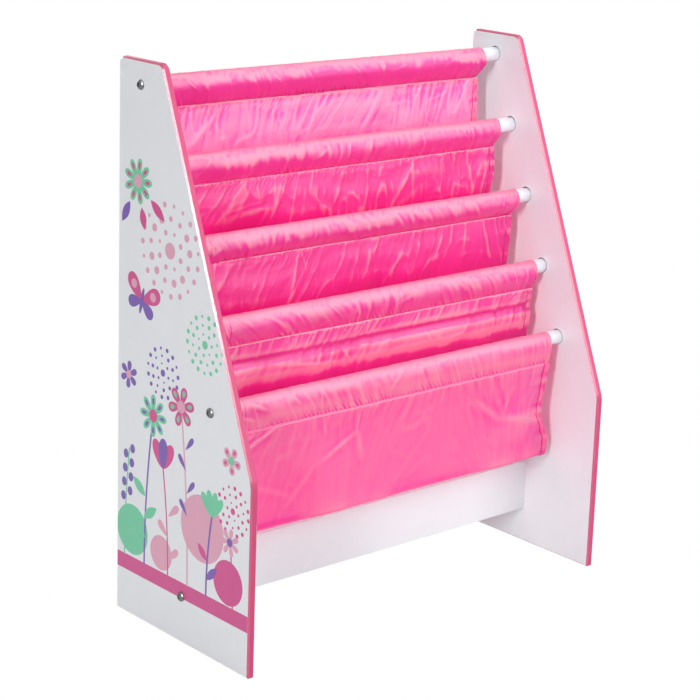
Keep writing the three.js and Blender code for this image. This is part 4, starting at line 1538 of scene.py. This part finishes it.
def sling(number):
    """One hanging pocket, with its stitches; only the front wall of the lowest one is open to view."""
    settings = bpy.context.scene.bookshelf.cloth
    section = sling_section(number)
    whole, hem = section.length / MM, settings.hem / MM
    back_seed, front_seed = 400 + 10 * number, 500 + 10 * number
    top, bottom = SLEEVE_DRIFT[number], SLEEVE_DRIFT[number + 1]
    half = settings.width / 2
    lowest = number + 1 == ROD_COUNT

    def in_front(down):
        """0 on the back wall and 1 on the front wall, turning over 30 mm round the fold."""
        return np.clip((down - whole * 0.5) / 30 + 0.5, 0, 1)

    def unevenness(mm, line, seed, fine_seed):
        """How far an end of the sling strays, in slow and short waves."""
        return 1.3 * line_noise(mm / 26, line, seed + number) + 0.35 * line_noise(mm / 6, 0, fine_seed)

    def edges(down):
        share = down / section.length
        middle = top + (bottom - top) * share
        mm = down / MM
        draw_in = 2.6 * np.sin(np.pi * share) ** 2
        wave = unevenness(mm, 0.3, 60, 61)
        other = unevenness(mm, 0.6, 70, 71)
        right = half / MM - draw_in + wave
        if lowest:
            right = half / MM + along_points(FRONT_EDGE, whole - mm) + 0.4 * wave
        return middle - (half / MM - draw_in + other) * MM, middle + right * MM

    def relief(x, down, across):
        rise = whole - down
        towards = -section.normal(down * MM)[..., 0]
        near_top = np.clip(down - 2.2, 0, None)
        near_end = np.clip(rise - 2.2, 0, None)
        ahead = in_front(down)
        back = 1 - ahead
        swell = 1 + 0.5 * line_noise(x / 75, 4.1, 650 + number)
        wander = 0
        if not lowest:
            wander = 9 * line_noise(x / 60, 2.2, 640 + number) * np.clip(near_top / 20, 0, 1)
        out = back * gathers(x, near_top, back_seed, 0.8 if lowest else 1.0, 1.5)
        out += back * swell * along_points(BACK_SHAPES[number], near_top + wander)
        out += ahead * gathers(x, near_end, front_seed, 0.38 if lowest else 0.9)
        for start, end, height, width in BACK_CREASES[number]:
            out += back * crease(x, near_top, start, end, height, width)
        if lowest:
            for start, end, height, width in FRONT_CREASES:
                out += ahead * crease(x, near_end, start, end, height, width)
            out += ahead * 2.2 * bell(x, 190, 40) * bell(near_end, 62, 22)
        hang = np.sin(np.pi * np.clip(down / whole, 0, 1))
        out += 1.4 * hang * lattice_noise(x / 80 + 7, down / 60, 600 + number)
        creased = crumple(x, down, 610 + 10 * number) * np.clip(near_top / 8, 0, 1)
        out += (0.3 if lowest else 1.0) * creased
        out += 0.7 * bell(near_top, 1.1, 1.0) * back
        edge = np.clip(np.minimum(across, settings.width / MM - across), 0, None)
        by_edge = np.exp(-edge / 9)
        out += by_edge * 0.9 * lattice_noise(down / 7 + 3, x * 0 + (x > 0) * 5, 620 + number)
        out -= 0.5 * bell(edge, hem - HEM_LINE, 0.8)
        hold = np.clip(near_top / 2, 0, 1) * np.clip(near_end / 2, 0, 1)
        return np.clip(out * hold, -5, 5) * towards

    def painted_light(x, down):
        """Painted light where daylight comes from behind or in front, a painted highlight along the
        folded edge at the seam, and painted shade in the folds below it.
        """
        rise = whole - down
        ahead = in_front(down)
        back = 1 - ahead
        facing = BACK_PAINTED_LIGHT[number] * back
        # Painted light: nearer the seam the daylight still reaches the cloth, in uneven slanted sheets
        sheets = lattice_noise((x + 0.5 * down) / 24, down / 70, 660 + number)
        facing += back * (0.3 * np.exp(-down / 26) * (number > 1) + 0.16 * sheets)
        fold = 0.0
        # The front wall of the lowest pocket gets painted light from the room in front, and its rolled
        # edge a painted highlight
        if lowest:
            facing += 0.46 * ahead
            fold = bell(rise, 0, 2.0, 4)
        # Painted shade in the short folds below the seam, and a painted highlight along the folded edge
        # at the seam
        dark = 1.2 * fold_painted_shade(x, down - 4.4, back_seed)
        return facing + 0.9 * bell(down, 0, 4.3, 6) + 0.9 * fold + dark

    def calm(down):
        """The weaker painted light and shade of the relief on the front wall of the lowest pocket, which
        hangs taut.
        """
        return 1 - 0.45 * lowest * in_front(down)

    # Rows lie closest at the seams, and closer on the walls that show than round the fold
    if lowest:
        shown = ((8 * MM, 0.8 * MM), (34 * MM, 1.6 * MM))
        last = ((114 * MM, 2 * MM), (12 * MM, 0.9 * MM))
        hidden = (section.length - 168 * MM, 3.6 * MM)
    else:
        shown = ((8 * MM, 0.8 * MM), (66 * MM, 1.4 * MM))
        last = ((12 * MM, 1.2 * MM),)
        hidden = (section.length - 86 * MM, 3.4 * MM)
    run = marks((*shown, hidden, *last))
    piece, surface = lay_cloth(f"nylon_sling_{number}", section, edges, relief, run, painted_light, calm)
    inset, margin, width = settings.hem - HEM_LINE * MM, 1 * MM, settings.width
    first_seam = 3.4 * MM
    last_seam = section.length - first_seam
    stitched = [((across, first_seam), (across, last_seam)) for across in (inset, width - inset)]
    stitched += [((margin, seam), (width - margin, seam)) for seam in (first_seam, last_seam)]
    threads = sew(f"sling_stitching_{number}", surface, stitched)
    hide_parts(f"pocket_sling_{number}")
    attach(piece, "root")


class BOOKSHELF_OT_slings(bpy.types.Operator):
    """Hang the four nylon slings between the sleeves"""

    bl_idname = "bookshelf.slings"
    bl_label = "Slings"
    bl_options = {"REGISTER", "UNDO"}

    def execute(self, context):
        for number in range(1, ROD_COUNT):
            sling(number)
        return {"FINISHED"}


def seen_directly(tree, mirrored):
    """1 for rays that see the background directly, mirrored for rays off a glossy surface."""
    path = tree.add("ShaderNodeLightPath").outputs
    seen = tree.math("MAXIMUM", path["Is Camera Ray"], path["Is Transmission Ray"])
    return tree.math("MAXIMUM", seen, tree.math("MULTIPLY", path["Is Glossy Ray"], mirrored))


# Each lamp's place, and its width and height
LAMPS = {
    "side": ((-4.3, -1.85, 1.75), (0.6, 2.6)),
    "edge": ((-4.0, -2.45, 1.85), (0.2, 1.6)),
    "front": ((0.9, -2.0, 0.95), (1.8, 1.8)),
    "top": ((0.45, -0.25, 2.5), (1.5, 1.5)),
    "back": ((0.3, 2.2, 1.1), (1.4, 1.4)),
}
LAMP_AIM = Vector((0, 0, 0.3))


class BOOKSHELF_OT_stage(bpy.types.Operator):
    """Set the floor, the white surroundings, the lamps and the camera"""

    bl_idname = "bookshelf.stage"
    bl_label = "Stage"
    bl_options = {"REGISTER", "UNDO"}

    def execute(self, context):
        settings = context.scene.bookshelf.stage
        self.floor()
        self.world(context.scene, settings.ambient)
        for name, (place, size) in LAMPS.items():
            self.lamp(f"{name}_lamp", place, size, getattr(settings, f"{name}_power"))
        self.camera(context.scene, settings)
        context.scene.view_settings.view_transform = "Standard"
        return {"FINISHED"}

    def floor(self):
        """A matt floor that the camera sees as plain white."""
        bm = bmesh.new()
        floor_radius, below_feet = 9.0, 0.4 * MM
        bmesh.ops.create_circle(bm, cap_ends=True, segments=96, radius=floor_radius)
        bmesh.ops.translate(bm, verts=bm.verts, vec=(0, 0, -below_feet))
        material, tree = new_material("Studio floor")
        matt = tree.add("ShaderNodeBsdfDiffuse", {"Color": (0.7, 0.7, 0.7, 1)})
        white = tree.add("ShaderNodeEmission", {"Color": (1, 1, 1, 1), "Strength": 1.0})
        # In glossy surfaces the floor is bright close by and falls off towards the dark end of the room
        away = tree.add("ShaderNodeVectorMath", {0: tree.add("ShaderNodeTexCoord").outputs["Object"]},
                        operation="LENGTH").outputs["Value"]
        mirrored = tree.ramp(away, 0.9, 1.9, 1.3, 0.3)
        mixed = tree.add("ShaderNodeMixShader", {0: seen_directly(tree, mirrored), 1: matt, 2: white})
        tree.add("ShaderNodeOutputMaterial", {"Surface": mixed})
        finished("studio_floor", bm, [material])

    def world(self, scene, ambient):
        """White surroundings, with little light of their own."""
        world = bpy.data.worlds.new("White surroundings")
        world.use_nodes = True
        tree = Tree(world.node_tree)
        # In glossy surfaces the room is brightest in front, where its large diffusers stand
        place = tree.add("ShaderNodeTexCoord").outputs["Generated"]
        towards = tree.add("ShaderNodeSeparateXYZ", {"Vector": place})
        above = tree.ramp(towards.outputs["Z"], -0.1, 0.4)
        forward = tree.math(
            "SUBTRACT", tree.math("MULTIPLY", towards.outputs["X"], 0.35), towards.outputs["Y"]
        )
        ahead = tree.ramp(forward, -0.5, 0.7, 0.04, 1.0)
        room = tree.math("ADD", 0.5, tree.math("MULTIPLY", tree.math("MULTIPLY", above, ahead), 6.0))
        strength = tree.math("MAXIMUM", ambient, seen_directly(tree, room))
        light = tree.add("ShaderNodeBackground", {"Color": (1, 1, 1, 1), "Strength": strength})
        tree.add("ShaderNodeOutputWorld", {"Surface": light})
        scene.world = world

    def lamp(self, name, place, size, power):
        """An oval lamp that faces the shelf and that the camera doesn't see."""
        data = bpy.data.lights.new(name, "AREA")
        data.shape = "ELLIPSE"
        data.size, data.size_y = size
        data.energy = power
        lamp = placed(name, data)
        lamp.location = place
        lamp.rotation_euler = (LAMP_AIM - Vector(place)).to_track_quat("-Z", "Y").to_euler()
        lamp.visible_camera = False

    def camera(self, scene, settings):
        """The camera, turned by its azimuth, elevation and roll."""
        azimuth, elevation, roll = settings.azimuth, settings.elevation, settings.roll
        forward = Vector((
            math.sin(azimuth) * math.cos(elevation),
            math.cos(azimuth) * math.cos(elevation),
            -math.sin(elevation),
        ))
        level = Vector((math.cos(azimuth), -math.sin(azimuth), 0))
        upright = level.cross(forward)
        right = level * math.cos(roll) + upright * math.sin(roll)
        up = upright * math.cos(roll) - level * math.sin(roll)
        data = bpy.data.cameras.new("camera")
        data.sensor_width = 36
        data.lens = settings.lens
        data.shift_y = settings.shift_up
        data.clip_end = 50
        camera = placed("camera", data)
        turn = Matrix((right, up, -forward)).transposed().to_4x4()
        camera.matrix_world = Matrix.Translation(settings.place) @ turn
        scene.camera = camera


OPERATORS = (
    BOOKSHELF_OT_stage, BOOKSHELF_OT_side_panels, BOOKSHELF_OT_prints, BOOKSHELF_OT_rods,
    BOOKSHELF_OT_rail, BOOKSHELF_OT_hardware, BOOKSHELF_OT_sleeves, BOOKSHELF_OT_slings,
)


class VIEW3D_PT_bookshelf(bpy.types.Panel):
    """The bookshelf's operators and settings"""

    bl_idname = "VIEW3D_PT_bookshelf"
    bl_label = "Sling Bookshelf"
    bl_space_type = "VIEW_3D"
    bl_region_type = "UI"
    bl_category = "Bookshelf"

    def draw(self, context):
        layout = self.layout
        for operator in OPERATORS:
            layout.operator(operator.bl_idname)
        for group in ("panel", "print", "cloth", "hardware", "stage"):
            settings = getattr(context.scene.bookshelf, group)
            box = layout.box()
            box.label(text=settings.bl_rna.name)
            for name in settings.bl_rna.properties.keys():
                if name not in {"rna_type", "name"}:
                    box.prop(settings, name)


CLASSES = (
    PanelSettings, PrintSettings, ClothSettings, HardwareSettings, StageSettings, BookshelfSettings,
    *OPERATORS, VIEW3D_PT_bookshelf,
)


def register():
    for item in CLASSES:
        bpy.utils.register_class(item)
    bpy.types.Scene.bookshelf = bpy.props.PointerProperty(type=BookshelfSettings)


def unregister():
    del bpy.types.Scene.bookshelf
    for item in reversed(CLASSES):
        bpy.utils.unregister_class(item)


def main():
    register()
    bpy.ops.bookshelf.stage()
    bpy.ops.bookshelf.side_panels()
    bpy.ops.bookshelf.prints()
    bpy.ops.bookshelf.rods()
    bpy.ops.bookshelf.rail()
    bpy.ops.bookshelf.hardware()
    bpy.ops.bookshelf.sleeves()
    bpy.ops.bookshelf.slings()


if __name__ == "__main__":
    main()
